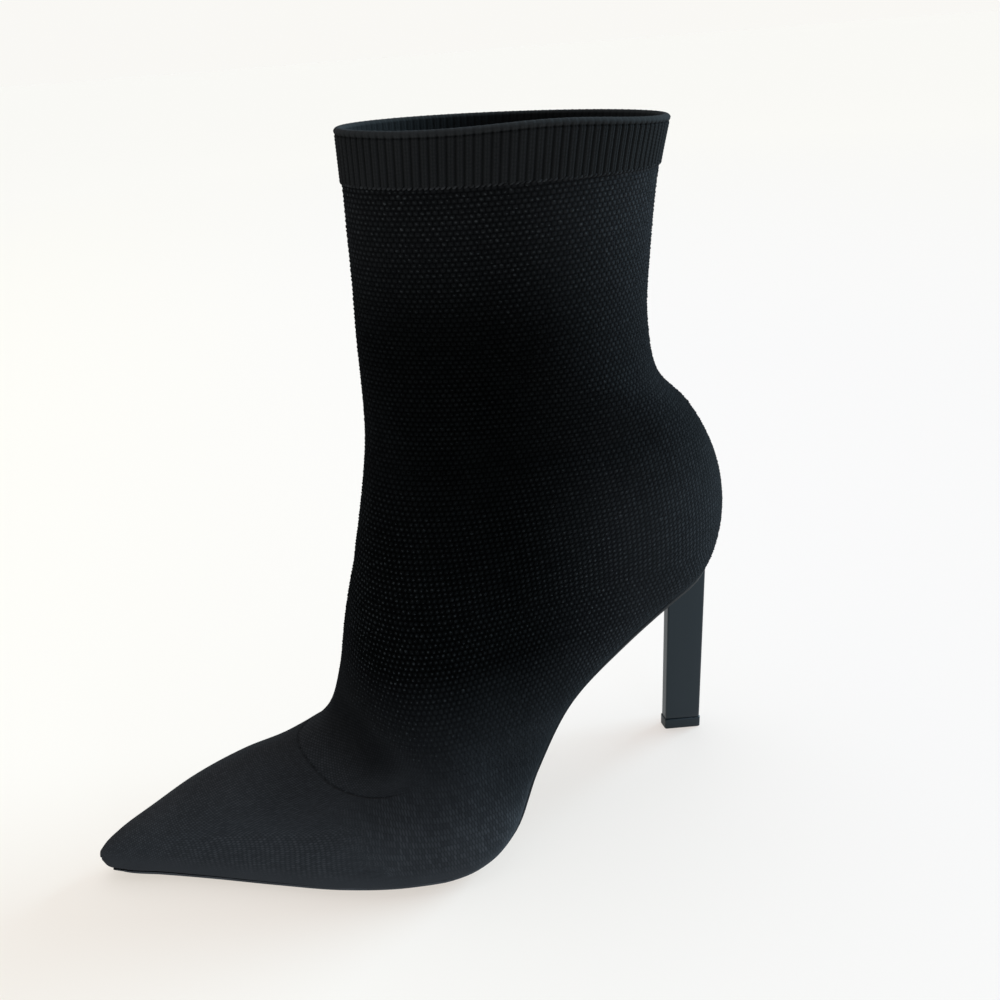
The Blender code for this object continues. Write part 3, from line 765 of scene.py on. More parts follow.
def domePiece(name, material, point, axes, halves, tone, dome):  # small domes on the knit, one tone each, painted darker at the foot of the dome and lighter at its top
    across, up, normal = (a[:, None, :] for a in axes)
    halfAcross, halfUp, relief = (h[:, None, None] for h in halves)
    sides = dome["sides"]
    turn = np.arange(sides) * 2 * math.pi / sides
    ring = np.stack([np.cos(turn), np.sin(turn)], axis=1)[None]
    flat = halfAcross * ring[..., :1] * across + halfUp * ring[..., 1:] * up
    spot = point[:, None, :]
    middle = spot + domeShoulder[0] * flat + normal * (domeShoulder[1] * relief)
    points = np.concatenate([spot + flat - normal * dome["sink"], middle, spot + normal * relief], axis=1)
    size = 2 * sides + 1
    k = np.arange(sides)
    after = (k + 1) % sides
    starts = (np.arange(len(point)) * size)[:, None, None]
    quads = np.stack([k, after, sides + after, sides + k], axis=1)[None] + starts
    tris = np.stack([sides + k, sides + after, np.full(sides, 2 * sides)], axis=1)[None] + starts
    # painted shade at the foot of each dome, painted highlight at its top
    tone = np.repeat(tone, size) * np.tile(np.repeat(dome["paintedRingShade"], (sides, sides, 1)), len(point))
    points = points.reshape(-1, 3)
    uv = np.stack([points @ np.array(yarn["uvAcross"]), points[:, 2]], axis=1)
    makePiece(name, points, (quads.reshape(-1, 4), tris.reshape(-1, 3)), material, "upper",
              {"yarnMm": uv}, {"toneAndPaintedShadeMark": tone})


def dotPlaces(side):
    pitch = knitRows["pitch"]
    found = []
    for k, (number, run) in enumerate(zip(*rowTable[side])):
        number, run = number[::-1], run[::-1]  # from the ridge to the back
        first = 0.5 * (k % 2)
        start = math.ceil(run[0] / pitch - first + dots["ridgeStart"][side])
        stop = int(run[-1] / pitch - first - dots["backEnd"]) + 1
        at = pitch * (np.arange(start, stop) + first)
        way = np.interp(at, run, wayOf(side, gridShares[::-1]))
        found.append(np.stack([np.interp(at, run, number), way], axis=1))
    return np.concatenate(found)


def buildDots(side, name, material):
    rng = np.random.default_rng(dots["seed"] + side)
    spots = dotPlaces(side)
    spots = spots + rng.normal(0.0, 1.0, spots.shape) * dots["stray"]
    number, way = spots[:, 0], np.clip(spots[:, 1], *dots["ways"][side])
    plain, normal = formAt(number, way)
    fold = foldAt(plain)
    strength = areaMarks(plain, number, shareOf(way))["leg"]
    strength = strength * (1.0 - dots["inFold"] * smooth(-fold / dots["foldDepth"]))
    past = number - vampLean(np.full_like(number, last["vampAt"]), shareOf(way))
    strength = strength * rise(past, *dots["behind"]) * (number < dots["topAt"])
    keep = strength > dots["keep"]
    normal, strength = normal[keep], strength[keep]
    point = plain[keep] + normal * fold[keep][:, None]
    count = len(point)
    x, z = point[:, 0], point[:, 2]
    up = unit(np.array([0.0, 0.0, 1.0]) - normal * normal[:, 2:3])
    across = np.cross(up, normal)
    lean = rng.normal(*dots["lean"], count)[:, None]
    axes = (unit(across - lean * up), unit(up + lean * across), normal)
    spread = np.clip(1.0 + dots["jitter"] * rng.standard_normal(count), *dots["sizes"])
    size = spread * (dots["weakSize"] + (1.0 - dots["weakSize"]) * strength)
    swell = np.clip(1.0 + dots["reliefJitter"] * rng.standard_normal(count), *dots["reliefs"])
    relief = dots["relief"] * swell * (dots["weakRelief"] + (1.0 - dots["weakRelief"]) * strength)
    halfAcross = dots["halfAcross"] * size * fromTable(z, dots["slim"])
    halfUp = dots["halfUp"] * size * fromTable(z, dots["tall"])  # stitches draw out lower down
    # painted shade and light from the height and across tables; chance is the yarn's own tone
    fade = np.maximum(fromTable(x, dots["paintedShadeAcross"]), rise(z, *dots["paintedShadeEndsAbove"]))
    shade = fromTable(z, dots["tones"]) * fade
    chance = np.clip(dots["toneMiddle"] + dots["toneJitter"] * rng.standard_normal(count), *dots["toneRange"])
    tone = chance * shade - dots["extraPaintedShade"] * (1.0 - np.minimum(shade, 1.0))
    domePiece(name, material, point, axes, (halfAcross, halfUp, relief), tone, dots["dome"])


dotYarn = yarnMaterial("dotYarn", dots)
buildDots(outer, "knitDotsOuter", dotYarn)
buildDots(inner, "knitDotsInner", dotYarn)

# ribbed cuff: up the outside, over the rolled rim and down inside
cuff = {
    "ribs": 108, "perRib": 10, "outsideRows": 58, "rimRows": 9, "insideRows": 14, "insideTo": 21.2,
    "tall": 13.6, "evenAt": 22.5, "topGap": 0.065, "below": 0.02, "upStep": 0.2, "tuck": 0.035,
    "outerOffset": 0.5, "ribRelief": 0.55, "ribPower": 1.3, "wale": (0.55, 0.12), "ribMean": 0.4,
    "chain": 1.0, "chainRelief": 0.13, "chainRange": (0.4, 1.5),
    "rimProud": 0.28, "roll": (0.957, 0.04), "rollTone": (0.957, 0.035), "flatter": (0.95, 0.04),
    "groove": 0.24, "grooveAt": (0.947, 0.014), "rimRelief": (0.14, 0.07), "rimLift": (0.1, 0.6),
    "rimLength": 3.6, "insideRelief": 0.16, "insideFade": (0.75, 0.25), "insideProud": (0.15, 0.1),
    "insideLength": 28.0,
    # painted light and shade of the cuff: rib crests lighter and gaps darker, the roll and rim lighter, the
    # groove darker, the back and the inside lighter
    "toneBase": 0.10, "paintedRibShade": 0.62, "paintedRollHighlight": 0.30, "paintedGrooveShade": 0.25, "paintedBackLight": 0.3,
    "backX": (-45.0, 45.0), "paintedRimLight": (0.72, 0.32), "paintedInsideLight": (0.38, 0.25),
    "dark": (0.0016, 0.0017, 0.0018), "light": (0.0300, 0.0320, 0.0340), "fuzzRelief": 0.10, "fibre": 2.6,
    "sheen": 0.03, "tint": (0.80, 0.90, 1.0),
}


def evenWays(number, count):  # ways round a ring at even steps of its length
    run = runAlong(formAt(np.full(len(gridWays), number), gridWays)[0])
    return np.interp(np.linspace(0.0, run[-1], count), run, gridWays), run[-1]


def buildCuff(material):
    columns = cuff["ribs"] * cuff["perRib"] + 1
    ways, length = evenWays(cuff["evenAt"], columns)
    phase = np.arange(columns) / cuff["perRib"]
    ribIndex = np.floor(phase + 0.5)
    waleDeep, waleWide = cuff["wale"]  # two wales to a rib
    rib = np.abs(np.cos(math.pi * phase)) ** cuff["ribPower"]
    rib = rib * (1.0 - waleDeep * bell(phase, ribIndex, waleWide))
    radius = (last["wall"] + cuff["outerOffset"]) / 2
    topNumber = last["collarAt"] - cuff["topGap"]
    up = unit(formAt(last["collarAt"], ways)[0] - formAt(last["collarAt"] - cuff["upStep"], ways)[0])
    topPoint, topNormal = formAt(topNumber, ways)
    rows, tones, uvs = [], [], []

    def addRow(points, tone, height):
        rows.append(points)
        tones.append(tone)
        uvs.append(np.stack([ways * length, np.full(columns, height)], axis=1))

    for t in np.arange(cuff["outsideRows"]) / (cuff["outsideRows"] - 1):
        number = last["cuffAt"] - cuff["below"] + (topNumber - last["cuffAt"] + cuff["below"]) * t
        point, normal = formAt(number, ways)
        height = t * cuff["tall"]
        wave = np.cos(2 * math.pi * (height / cuff["chain"] + 0.5 * (ribIndex % 2)))
        chain = 1.0 + cuff["chainRelief"] / cuff["ribRelief"] * wave * 2.0 * (rib - cuff["ribMean"])
        under = bell(t, *cuff["grooveAt"])  # groove below the rolled rim
        push = cuff["outerOffset"] * smooth(t / cuff["tuck"]) - cuff["ribRelief"] * 0.5
        push = push + cuff["ribRelief"] * rib * chain * (1.0 - 0.5 * rise(t, *cuff["flatter"]))
        push = push + cuff["rimProud"] * rise(t, *cuff["roll"]) - cuff["groove"] * under
        # painted light towards the back, painted shade between the ribs and in the groove, painted highlight
        # on the roll
        lit = 1.0 + cuff["paintedBackLight"] * rise(point[:, 0], *cuff["backX"])
        tone = cuff["toneBase"] + cuff["paintedRibShade"] * lit * rib * np.clip(chain, *cuff["chainRange"])
        tone = tone + cuff["paintedRollHighlight"] * rise(t, *cuff["rollTone"]) - cuff["paintedGrooveShade"] * under
        addRow(point + normal * push[:, None], tone, height)
    ribHigh, waleHigh = cuff["rimRelief"]
    for k in range(1, cuff["rimRows"] + 1):
        turn = math.pi * k / (cuff["rimRows"] + 1)
        relief = ribHigh * rib + waleHigh * np.cos(4 * math.pi * phase) - waleHigh
        relief = relief * math.sin(turn / 2 + math.pi / 4)
        proud = cuff["rimProud"] * (0.5 + 0.5 * math.cos(turn))
        out = cuff["outerOffset"] - radius + (radius + proud + relief) * math.cos(turn)
        lift = (radius + cuff["rimLift"][0] + relief * cuff["rimLift"][1]) * math.sin(turn)
        # painted light on the rim, with painted shade between its ribs
        tone = cuff["paintedRimLight"][0] + cuff["paintedRimLight"][1] * rib
        height = cuff["tall"] + cuff["rimLength"] * k / cuff["rimRows"]
        addRow(topPoint + topNormal * out[:, None] + up * lift[:, None], tone, height)
    proud, soon = cuff["insideProud"]
    for t in np.arange(cuff["insideRows"]) / (cuff["insideRows"] - 1):
        point, normal = formAt(topNumber + (cuff["insideTo"] - topNumber) * t, ways)
        relief = cuff["insideRelief"] * (rib - cuff["ribMean"]) * (1.0 - rise(t, *cuff["insideFade"]))
        depth = last["wall"] + relief - proud * smooth(t / soon)
        # painted light inside the cuff, with painted shade between the ribs
        addRow(point - normal * depth[:, None], cuff["paintedInsideLight"][0] + cuff["paintedInsideLight"][1] * rib,
               cuff["tall"] + cuff["rimLength"] + cuff["insideLength"] * t)
    makePiece("ribbedCuff", np.concatenate(rows), (gridFaces(len(rows), columns),), material, "upper",
              {"yarnMm": np.concatenate(uvs)}, {"toneAndPaintedShadeMark": np.concatenate(tones)})


buildCuff(yarnMaterial("ribYarn", cuff))

# stitch rows: slanted loops under the cuff and along the vamp edge
stitches = {
    "seed": 5, "aheadStep": 0.002,
    "cuffPitch": 1.55, "cuffHalf": (0.95, 0.48, 0.55), "cuffTilt": 0.55, "cuffBelow": 0.012, "cuffLift": 0.12,
    "cuffTone": (0.6, 0.18), "cuffRange": (0.1, 1.0),
    "vampPitch": 1.45, "vampHalf": (0.62, 0.34, 0.30), "vampTilt": 0.9, "vampEnd": 0.615, "vampBehind": 0.024,
    "vampSink": 0.28, "vampStart": 0.4, "vampFade": 0.10, "vampKeep": 0.1, "vampPoints": 200,
    "vampTone": (0.35, 0.2), "vampRange": (0.1, 0.8),
    "dome": {"sides": 8, "sink": 0.25, "paintedRingShade": (0.3, 0.9, 1.1)},
    "dark": (0.0028, 0.0030, 0.0033), "light": (0.0380, 0.0405, 0.0435), "fuzzRelief": 0.06, "fibre": 2.4,
    "sheen": 0.03, "tint": (0.80, 0.90, 1.0),
}


def loopRow(name, material, point, normal, along, half, tilt, tone):
    across = unit(along * math.cos(tilt) + np.cross(normal, along) * math.sin(tilt))
    axes = (across, unit(np.cross(normal, across)), normal)
    domePiece(name, material, point, axes, [np.full(len(point), h) for h in half], tone, stitches["dome"])


def chanceTone(rng, count, tone, limits):
    return np.clip(tone[0] + tone[1] * rng.standard_normal(count), *limits)


def buildStitches(material):
    rng = np.random.default_rng(stitches["seed"])
    _, length = evenWays(last["cuffAt"], 2)
    count = int(length / stitches["cuffPitch"])
    ways = evenWays(last["cuffAt"], count + 1)[0][:-1]
    number = np.full(count, last["cuffAt"] - stitches["cuffBelow"])
    point, normal = formAt(number, ways)
    ahead, _ = formAt(number, np.minimum(ways + stitches["aheadStep"], 1.0))
    tone = chanceTone(rng, count, stitches["cuffTone"], stitches["cuffRange"])
    loopRow("cuffStitches", material, point + normal * stitches["cuffLift"], normal, unit(ahead - point),
            stitches["cuffHalf"], stitches["cuffTilt"], tone)
    share = np.linspace(stitches["vampEnd"], 1.0, stitches["vampPoints"])
    way = np.concatenate([share / 2, 1.0 - share[::-1][1:] / 2])
    number = vampLean(np.full(len(way), last["vampAt"] + stitches["vampBehind"]), shareOf(way))
    run = runAlong(skinAt(number, way)[0])
    at = np.arange(stitches["vampStart"], run[-1], stitches["vampPitch"])
    way, number = np.interp(at, run, way), np.interp(at, run, number)
    point, normal = skinAt(number, way)
    along = unit(np.gradient(point, axis=0))
    tone = chanceTone(rng, len(at), stitches["vampTone"], stitches["vampRange"])
    keep = rise(shareOf(way), stitches["vampEnd"], stitches["vampFade"]) > stitches["vampKeep"]
    point = point - normal * stitches["vampSink"]
    loopRow("vampStitches", material, point[keep], normal[keep], along[keep], stitches["vampHalf"],
            stitches["vampTilt"], tone[keep])


buildStitches(yarnMaterial("seamYarn", stitches))

# soft inside of the leg and foot
lining = {
    "first": 1.6, "rings": 150, "topAt": 21.6, "wayStep": 2,
    "dark": (0.004, 0.0042, 0.0046), "light": (0.012, 0.0124, 0.013), "stops": (0.15, 0.85),
    "rough": (0.8, 0.96), "relief": 0.14, "pitch": 1.2, "row": 1.5, "fibre": 2.0,
    "stitchShare": 0.4, "specular": 0.05,
}


def liningMaterial():
    material, tree, shader = newMaterial("liningCloth")
    coord = uvCoord(tree, "liningMm")
    fuzz = place(tree, yarnFuzz, Coord=coord, Fibre=lining["fibre"], Cloud=yarn["cloud"])
    laid = place(tree, stitchRelief, Coord=coord, Pitch=lining["pitch"], Row=lining["row"])
    # painted shade: stitch tops lighter, the gaps between them darker
    tone = mixTone(tree, laid["Height"], lining["stitchShare"], fuzz["Shade"])
    colour = ramp(tree, tone, lining["stops"], (lining["dark"], lining["light"]))
    dress(tree, shader, colour, fuzz["Shade"], lining["rough"], times(tree, laid["Height"], lining["relief"]))
    shader.inputs["Specular IOR Level"].default_value = lining["specular"]
    return material


def buildLining(material):
    numbers = np.linspace(lining["first"], lining["topAt"], lining["rings"])
    ways = gridWays[::lining["wayStep"]]
    rings = vampLean(numbers[:, None], shareOf(ways)[None, :])
    point, normal = formAt(rings, ways[None, :])
    point = point - normal * last["wall"]
    arc = runAcross(point)
    side = point[:, len(ways) // 4]
    along = np.cumsum(np.linalg.norm(np.gradient(side, axis=0), axis=1))
    along = np.broadcast_to(along[:, None], arc.shape)
    uv = np.stack([arc - arc[:, len(ways) // 2][:, None], along], axis=-1)
    faces = gridFaces(*rings.shape)[:, ::-1]
    cap = tipCap(*rings.shape)[:, [0, 2, 1]]
    makePiece("softLining", withTip(point, point[0].mean(axis=0)), (faces, cap), material, "upper",
              {"liningMm": withTip(uv, (0.0, 0.0))})


liningCloth = liningMaterial()
buildLining(liningCloth)


# sole and footbed follow the bottom of the last
def soleDown(number):  # downward, square to the bottom line
    before = sectionAt(np.maximum(number - soleShape["slopeStep"], 0.0))
    after = sectionAt(number + soleShape["slopeStep"])
    level = np.zeros(len(number))
    forward = after["backForward"] - before["backForward"]
    along = unit(np.stack([-forward, level, after["backZ"] - before["backZ"]], axis=1))
    return np.stack([along[:, 2], level, -along[:, 0]], axis=1)


def soleFloor(number):  # middle of the underside
    s = sectionAt(number)
    top = np.stack([-s["backForward"], s["backY"], s["backZ"]], axis=1)
    low = top + soleDown(number) * (last["gap"] + soleValue(number, soleShape["thickColumn"]))[:, None]
    low[:, 2] = np.maximum(low[:, 2], 0.0)
    return low


def soleStations(first, end, count):  # closer together at the rounded end
    part, extra = soleShape["endPart"], soleShape["endStations"]
    even = np.linspace(first, end - part, count - extra)
    return np.concatenate([even, end - part * (1.0 - np.linspace(0.0, 1.0, extra + 1)[1:] ** 0.5)])


def acrossPlan(count):  # closer together at the edges
    t = np.linspace(-1.0, 1.0, count)
    return np.sign(t) * (1.0 - (1.0 - np.abs(t)) ** soleShape["acrossPower"])


def stripTop(number, across, column, end, lift):
    point = np.empty((len(number), len(across), 3))
    normal = np.empty_like(point)
    for side in (outer, inner):
        pick = (across < 0) if side == outer else (across >= 0)
        reach = np.abs(across[pick])[None, :] * stripHalf(number, side, column, end)[:, None]
        share = shareAcross(number, side, reach)
        point[:, pick], normal[:, pick] = formAt(number[:, None], wayOf(side, share))
    return point + normal * lift, normal


def hardMaterial(name, look):
    material, tree, shader = newMaterial(name)
    coord = tree.nodes.new("ShaderNodeTexCoord").outputs["Object"]
    worn = place(tree, scuffs, Coord=coord, Size=look["size"], Streak=look["streak"])
    colour = ramp(tree, worn["Shade"], look["stops"], (look["base"], look["worn"]))
    shader.inputs["Specular IOR Level"].default_value = look["specular"]
    shader.inputs["Specular Tint"].default_value = (*look["tint"], 1.0)
    height = times(tree, worn["Grain"], look["grain"])
    if "treadPitch" in look:
        laid = place(tree, stitchRelief, Coord=uvCoord(tree, "treadMm"), Pitch=look["treadPitch"],
                     Row=look["treadPitch"])
        under = times(tree, laid["Height"], markValue(tree, "treadMark"))
        height = add(tree, height, times(tree, under, look["treadRelief"]))
        # paler sole edge: partly the sole's own paler edge, partly painted light that offsets the shade under
        # the knit
        edge = ramp(tree, worn["Shade"], look["stops"], (look["paleLitEdgeBase"], look["paleLitEdgeWorn"]))
        colour = blend(tree, markValue(tree, "paleLitEdgeMark"), colour, edge)
    dress(tree, shader, colour, worn["Shade"], look["rough"], height)
    return material


# thin sole
sole = {
    "stations": 130, "across": 41, "edge": 1.1, "flatShare": 0.78, "edgeRound": 0.22,
    "edgeSteps": (0.2, 0.5, 0.8), "treadAcross": (0.8, 0.1), "treadTo": (8.6, 0.6), "treadFrom": (3.0, 0.8),
    "rim": (0.85, 0.10), "paleLitEdgeTo": (9.5, 1.5), "stops": (0.35, 0.75), "rough": (0.60, 0.80),
    "base": (0.0060, 0.0068, 0.0078), "worn": (0.0130, 0.0140, 0.0155),
    "paleLitEdgeBase": (0.0340, 0.0365, 0.0405), "paleLitEdgeWorn": (0.0600, 0.0640, 0.0710),
    "size": 90.0, "streak": 1.0, "grain": 0.05, "specular": 0.12, "tint": (1.0, 1.0, 1.0),
    "treadPitch": 2.6, "treadRelief": 0.35,
}


def buildSole(material):
    number = soleStations(soleShape["first"], soleShape["lastAt"], sole["stations"])
    across = acrossPlan(sole["across"])
    top, _ = stripTop(number, across, soleShape["soleColumn"], soleShape["lastAt"], last["gap"])
    flat = np.broadcast_to(soleFloor(number)[:, None, :], top.shape).copy()
    flat[..., 1] = top[..., 1]
    thick = np.minimum(sole["edge"], soleValue(number, soleShape["thickColumn"]))
    edge = top + soleDown(number)[:, None, :] * thick[:, None, None]
    bend = rise(np.abs(across), sole["flatShare"], 1.0 - sole["flatShare"])[None, :, None]
    low = flat * (1.0 - bend) + edge * bend
    low[..., 2] = np.maximum(low[..., 2], 0.0)
    sides = []
    for end, sign in ((-1, 1.0), (0, -1.0)):  # rounded edge on the inner then the outer side
        bulge = []
        for t in sole["edgeSteps"]:
            mid = top[:, end] * (1 - t) + low[:, end] * t
            mid[:, 1] += sign * sole["edgeRound"] * math.sin(math.pi * t)
            bulge.append(mid)
        sides.append(np.stack(bulge, axis=1))
    closed, faces = closedStrip(np.concatenate([top, sides[0], low[:, ::-1], sides[1][:, ::-1]], axis=1))
    flank = np.ones(len(sole["edgeSteps"]))
    tread = np.zeros(closed.shape[:2])
    below = len(across) + len(flank)
    ball = fall(number, *sole["treadTo"])[:, None]
    inside = fall(np.abs(across[::-1]), *sole["treadAcross"])[None, :]
    tread[:, below:below + len(across)] = inside * ball * rise(number, *sole["treadFrom"])[:, None]
    # paler edge towards the toe: partly the sole's own paler edge, partly painted light against the shade
    # under the knit
    rim = rise(np.abs(across), *sole["rim"])
    paleLitEdge = np.concatenate([rim, flank, rim[::-1], flank, rim[:1]])[None, :]
    paleLitEdge = paleLitEdge * fall(number, *sole["paleLitEdgeTo"])[:, None]
    makePiece("thinSole", closed, faces, material, "outsole", {"treadMm": closed[..., :2]},
              {"treadMark": tread, "paleLitEdgeMark": paleLitEdge})


buildSole(hardMaterial("soleRubber", sole))

# footbed
footbed = {"first": 3.4, "lastAt": 13.9, "stations": 80, "across": 25, "gap": 0.85, "thick": 2.0,
           "thinner": 0.45, "thinFrom": (0.8, 0.2)}


def buildFootbed(material):
    number = soleStations(footbed["first"], footbed["lastAt"], footbed["stations"])
    across = acrossPlan(footbed["across"])
    depth = last["wall"] + footbed["gap"]
    low, normal = stripTop(number, across, soleShape["footColumn"], footbed["lastAt"], -depth)
    crown = footbed["thick"] * (1.0 - footbed["thinner"] * rise(np.abs(across), *footbed["thinFrom"]))
    top = low - normal * crown[None, :, None]
    closed, faces = closedStrip(np.concatenate([top, low[:, ::-1]], axis=1))
    uv = np.stack([-closed[..., 0], closed[..., 1]], axis=-1)
    makePiece("footbed", closed, faces, material, "insole", {"liningMm": uv})


buildFootbed(liningCloth)

# heel block and its wearing tip
heel = {
    "frontX": -6.3, "backX": 7.9, "frontHalf": 2.1, "backHalf": 5.6, "edge": 0.9, "edgePoints": 6,
    "sidePoints": (0.33, 0.66), "rows": 40, "easing": 0.25, "seam": 0.1, "seatFrom": (11.5, 15.5, 161),
    "eased": ((0.0, 1.0), (0.25, 0.62), (0.6, 0.22), (1.0, 0.0)), "inset": 0.5,
    "material": "heelSatin", "base": (0.0032, 0.0050, 0.0082), "worn": (0.0050, 0.0072, 0.0108),
    "stops": (0.35, 0.75), "rough": (0.24, 0.36), "size": 60.0, "streak": 8.0, "grain": 0.010,
    "specular": 0.40, "tint": (0.70, 0.90, 1.0),
}
heelTip = {
    "height": 5.0, "proud": 0.3, "rows": 6, "easing": 0.3,
    "material": "tipRubber", "base": (0.0040, 0.0058, 0.0088), "worn": (0.0080, 0.0100, 0.0130),
    "stops": (0.35, 0.75), "rough": (0.40, 0.60), "size": 160.0, "streak": 1.0, "grain": 0.05,
    "specular": 0.36, "tint": (0.70, 0.90, 1.0),
}


def heelOutline(grow):  # rounded wedge in plan, anticlockwise from the front outer corner
    front, back = heel["frontX"] - grow, heel["backX"] + grow
    slim, wide = heel["frontHalf"] + grow, heel["backHalf"] + grow
    corners = np.array([(front, -slim), (back, -wide), (back, wide), (front, slim)])
    radius = heel["edge"]
    points = []
    for k in range(4):
        here, before, after = corners[k], corners[k - 1], corners[(k + 1) % 4]
        a, b = unit(before - here), unit(after - here)
        opening = math.acos(float(np.clip(a @ b, -1.0, 1.0)))
        reach = radius / math.tan(opening / 2)
        centre = here + unit(a + b) * radius / math.sin(opening / 2)
        start, stop = here + a * reach - centre, here + b * reach - centre
        low = math.atan2(start[1], start[0])
        turn = (math.atan2(stop[1], stop[0]) - low + math.pi) % (2 * math.pi) - math.pi
        for t in np.linspace(0.0, 1.0, heel["edgePoints"]):
            points.append(centre + radius * np.array([math.cos(low + turn * t), math.sin(low + turn * t)]))
        for t in heel["sidePoints"]:
            points.append((here + b * reach) * (1 - t) + (after - b * reach) * t)
    return np.array(points)


def seatHeight(x):  # the block follows the sole
    number = np.linspace(*heel["seatFrom"])
    line = soleFloor(number) + soleDown(number) * last["gap"]
    return np.interp(x, line[:, 0], line[:, 2])


def tipHeight(x):
    return np.full(np.shape(x), heelTip["height"])


def buildBlock(name, grow, low, topOf, look, node):
    easing = look["easing"]
    plan = [("low", t, inset) for t, inset in heel["eased"]]  # eased lower and upper edges
    plan += [("middle", t, 0.0) for t in np.linspace(0.0, 1.0, look["rows"])[1:-1]]
    plan += [("top", t, inset) for t, inset in heel["eased"][::-1]]
    rings = []
    for part, t, inset in plan:
        outline = heelOutline(grow - inset * easing * heel["inset"])
        top = topOf(outline[:, 0])
        heights = {"low": np.full(len(top), low + easing * t), "top": top - easing * t,
                   "middle": low + easing + (top - low - 2 * easing) * t}
        rings.append(np.column_stack([outline, heights[part]]))
    size = len(rings[0])
    points = [np.concatenate([ring, ring[:1]]) for ring in rings]
    points += [rings[0].mean(axis=0)[None], rings[-1].mean(axis=0)[None]]
    hub = len(rings) * (size + 1)
    k = np.arange(size)
    high = k + (len(rings) - 1) * (size + 1)
    bottom = np.stack([np.full(size, hub), k + 1, k], axis=1)
    lid = np.stack([np.full(size, hub + 1), high, high + 1], axis=1)
    faces = (gridFaces(len(rings), size + 1)[:, ::-1], bottom, lid)
    makePiece(name, np.concatenate(points), faces, hardMaterial(look["material"], look), node)


buildBlock("heelBlock", 0.0, heelTip["height"] + heel["seam"], seatHeight, heel, "heel")
buildBlock("heelTip", heelTip["proud"], 0.0, tipHeight, heelTip, "heel_tip")

# stage: plain pale floor, a little warmer to the left
stageLook = {
    "base": (0.26, 0.26, 0.26), "left": (0.655, 0.605, 0.525), "right": (0.61, 0.57, 0.55),
    "far": (0.67, 0.625, 0.57), "from": -0.45, "to": 0.10, "near": 0.5, "away": 2.2,
    "half": 14.0, "rough": 0.7,
}


def buildStage():
    half = stageLook["half"]
    corners = [(-half, -half, 0.0), (half, -half, 0.0), (half, half, 0.0), (-half, half, 0.0)]
    mesh = bpy.data.meshes.new("paleFloor")
    mesh.from_pydata(corners, [], [(0, 1, 2, 3)])
    material, tree, shader = newMaterial("paleFloor")
    coord = tree.nodes.new("ShaderNodeTexCoord").outputs["Object"]
    across = span(tree, splitXyz(tree, coord)[0], 0.0, 1.0, stageLook["from"], stageLook["to"])
    length = tree.nodes.new("ShaderNodeVectorMath")
    length.operation = "LENGTH"
    tree.links.new(coord, length.inputs[0])
    away = span(tree, length.outputs["Value"], 0.0, 1.0, stageLook["near"], stageLook["away"])
    near = ramp(tree, across, (0.0, 1.0), (stageLook["left"], stageLook["right"]))
    far = ramp(tree, across, (0.0, 1.0), (stageLook["far"], stageLook["far"]))
    tree.links.new(blend(tree, away, near, far), shader.inputs["Emission Color"])
    shader.inputs["Emission Strength"].default_value = 1.0  # a light table: shadows stay pale
    shader.inputs["Base Color"].default_value = (*stageLook["base"], 1.0)
    shader.inputs["Roughness"].default_value = stageLook["rough"]
    shader.inputs["Specular IOR Level"].default_value = 0.0
    mesh.materials.append(material)
    addObject("paleFloor", mesh)


def setPlace(item, axes, at):
    item.matrix_world = Matrix([(*row, along) for row, along in zip(axes, at)] + [(0, 0, 0, 1)])


buildStage()

# soft studio light: two lamps and a broad distant panel, in a pale room that is dim behind the camera
lights = (
    {"name": "overhead", "at": (-0.1, 0.35, 1.5), "aim": (-0.1, 0.0, 0.05), "size": (1.2, 1.0), "power": 7.0,
     "colour": (1.0, 1.0, 1.0), "spread": 180.0},
    {"name": "rightBack", "at": (2.0, 0.20, 0.80), "aim": (-0.02, 0.0, 0.13), "power": 6.8,
     "colour": (0.63, 0.87, 1.0), "angle": 35.0},
    {"name": "lowFront", "at": (-0.02, -0.72, 0.09), "aim": (-0.16, -0.02, 0.025), "size": (0.45, 0.14),
     "power": 0.25, "colour": (0.66, 0.85, 1.0), "spread": 45.0},
)


def buildLight(light):
    lamp = bpy.data.lights.new(light["name"], "AREA" if "size" in light else "SUN")
    lamp.color = light["colour"]
    lamp.energy = light["power"]
    if "size" in light:
        lamp.shape = "RECTANGLE"
        lamp.size, lamp.size_y = light["size"]
        lamp.spread = math.radians(light["spread"])
    else:
        lamp.angle = math.radians(light["angle"])
    back = unit(np.array(light["at"]) - np.array(light["aim"]))
    side = unit(np.cross([0.0, 0.0, 1.0], back))
    axes = np.stack([side, np.cross(back, side), back], axis=1)
    setPlace(addObject(light["name"], lamp), axes, light["at"])


for light in lights:
    buildLight(light)

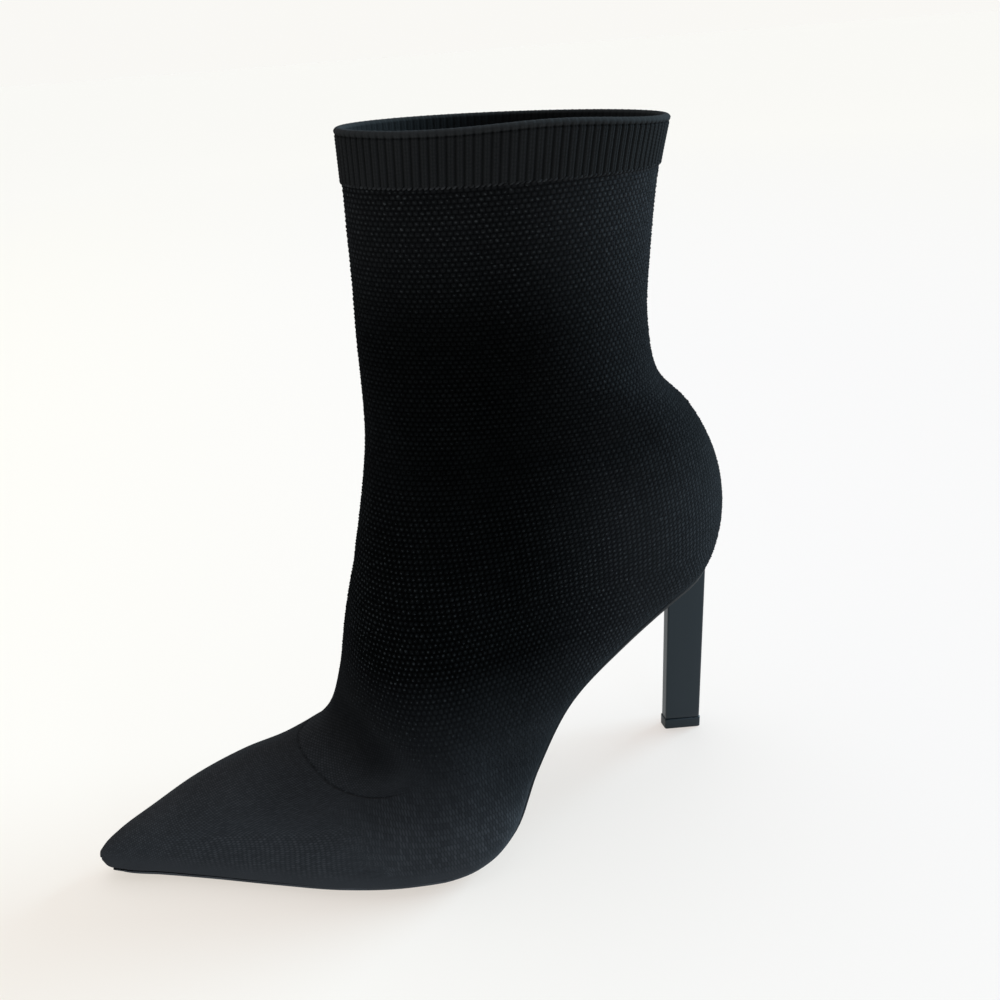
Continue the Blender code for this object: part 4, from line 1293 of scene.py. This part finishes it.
room = {"front": 0.08, "back": 0.95, "seen": (0.95, 0.94, 0.91), "from": -0.45, "to": 0.45, "upShare": 0.35}


def buildRoom():
    world = bpy.data.worlds.new("paleRoom")
    bpy.context.scene.world = world
    world.use_nodes = True
    tree = world.node_tree
    shine = tree.nodes["Background"]
    _, y, z = splitXyz(tree, tree.nodes.new("ShaderNodeTexCoord").outputs["Generated"])
    lean = add(tree, y, times(tree, z, room["upShare"]))
    level = span(tree, lean, room["front"], room["back"], room["from"], room["to"])
    level.node.interpolation_type = "SMOOTHSTEP"
    tree.links.new(level, shine.inputs["Color"])
    seen = tree.nodes.new("ShaderNodeBackground")
    seen.inputs["Color"].default_value = (*room["seen"], 1.0)
    mixed = tree.nodes.new("ShaderNodeMixShader")
    tree.links.new(tree.nodes.new("ShaderNodeLightPath").outputs["Is Camera Ray"], mixed.inputs[0])
    tree.links.new(shine.outputs[0], mixed.inputs[1])
    tree.links.new(seen.outputs[0], mixed.inputs[2])
    tree.links.new(mixed.outputs[0], tree.nodes["World Output"].inputs["Surface"])


buildRoom()
bpy.context.scene.view_settings.view_transform = "Standard"

# camera at the photograph's angle
view = {"at": (-0.1472, -0.2817, 0.2716), "yaw": 15.0, "down": 27.0, "roll": 4.15, "lens": 33.3,
        "sensor": 36.0, "near": 0.01}


def buildCamera():
    yaw, down, roll = (math.radians(view[k]) for k in ("yaw", "down", "roll"))
    ahead = np.array([math.sin(yaw) * math.cos(down), math.cos(yaw) * math.cos(down), -math.sin(down)])
    right = np.array([math.cos(yaw), -math.sin(yaw), 0.0])
    up = np.cross(right, ahead)
    turnedRight = math.cos(roll) * right - math.sin(roll) * up
    turnedUp = math.sin(roll) * right + math.cos(roll) * up
    camera = bpy.data.cameras.new("photoView")
    camera.lens = view["lens"]
    camera.sensor_width = view["sensor"]
    camera.sensor_fit = "HORIZONTAL"
    camera.clip_start = view["near"]
    item = addObject("photoView", camera)
    setPlace(item, np.stack([turnedRight, turnedUp, -ahead], axis=1), view["at"])
    bpy.context.scene.camera = item


buildCamera()
print("stage, lights and camera set")
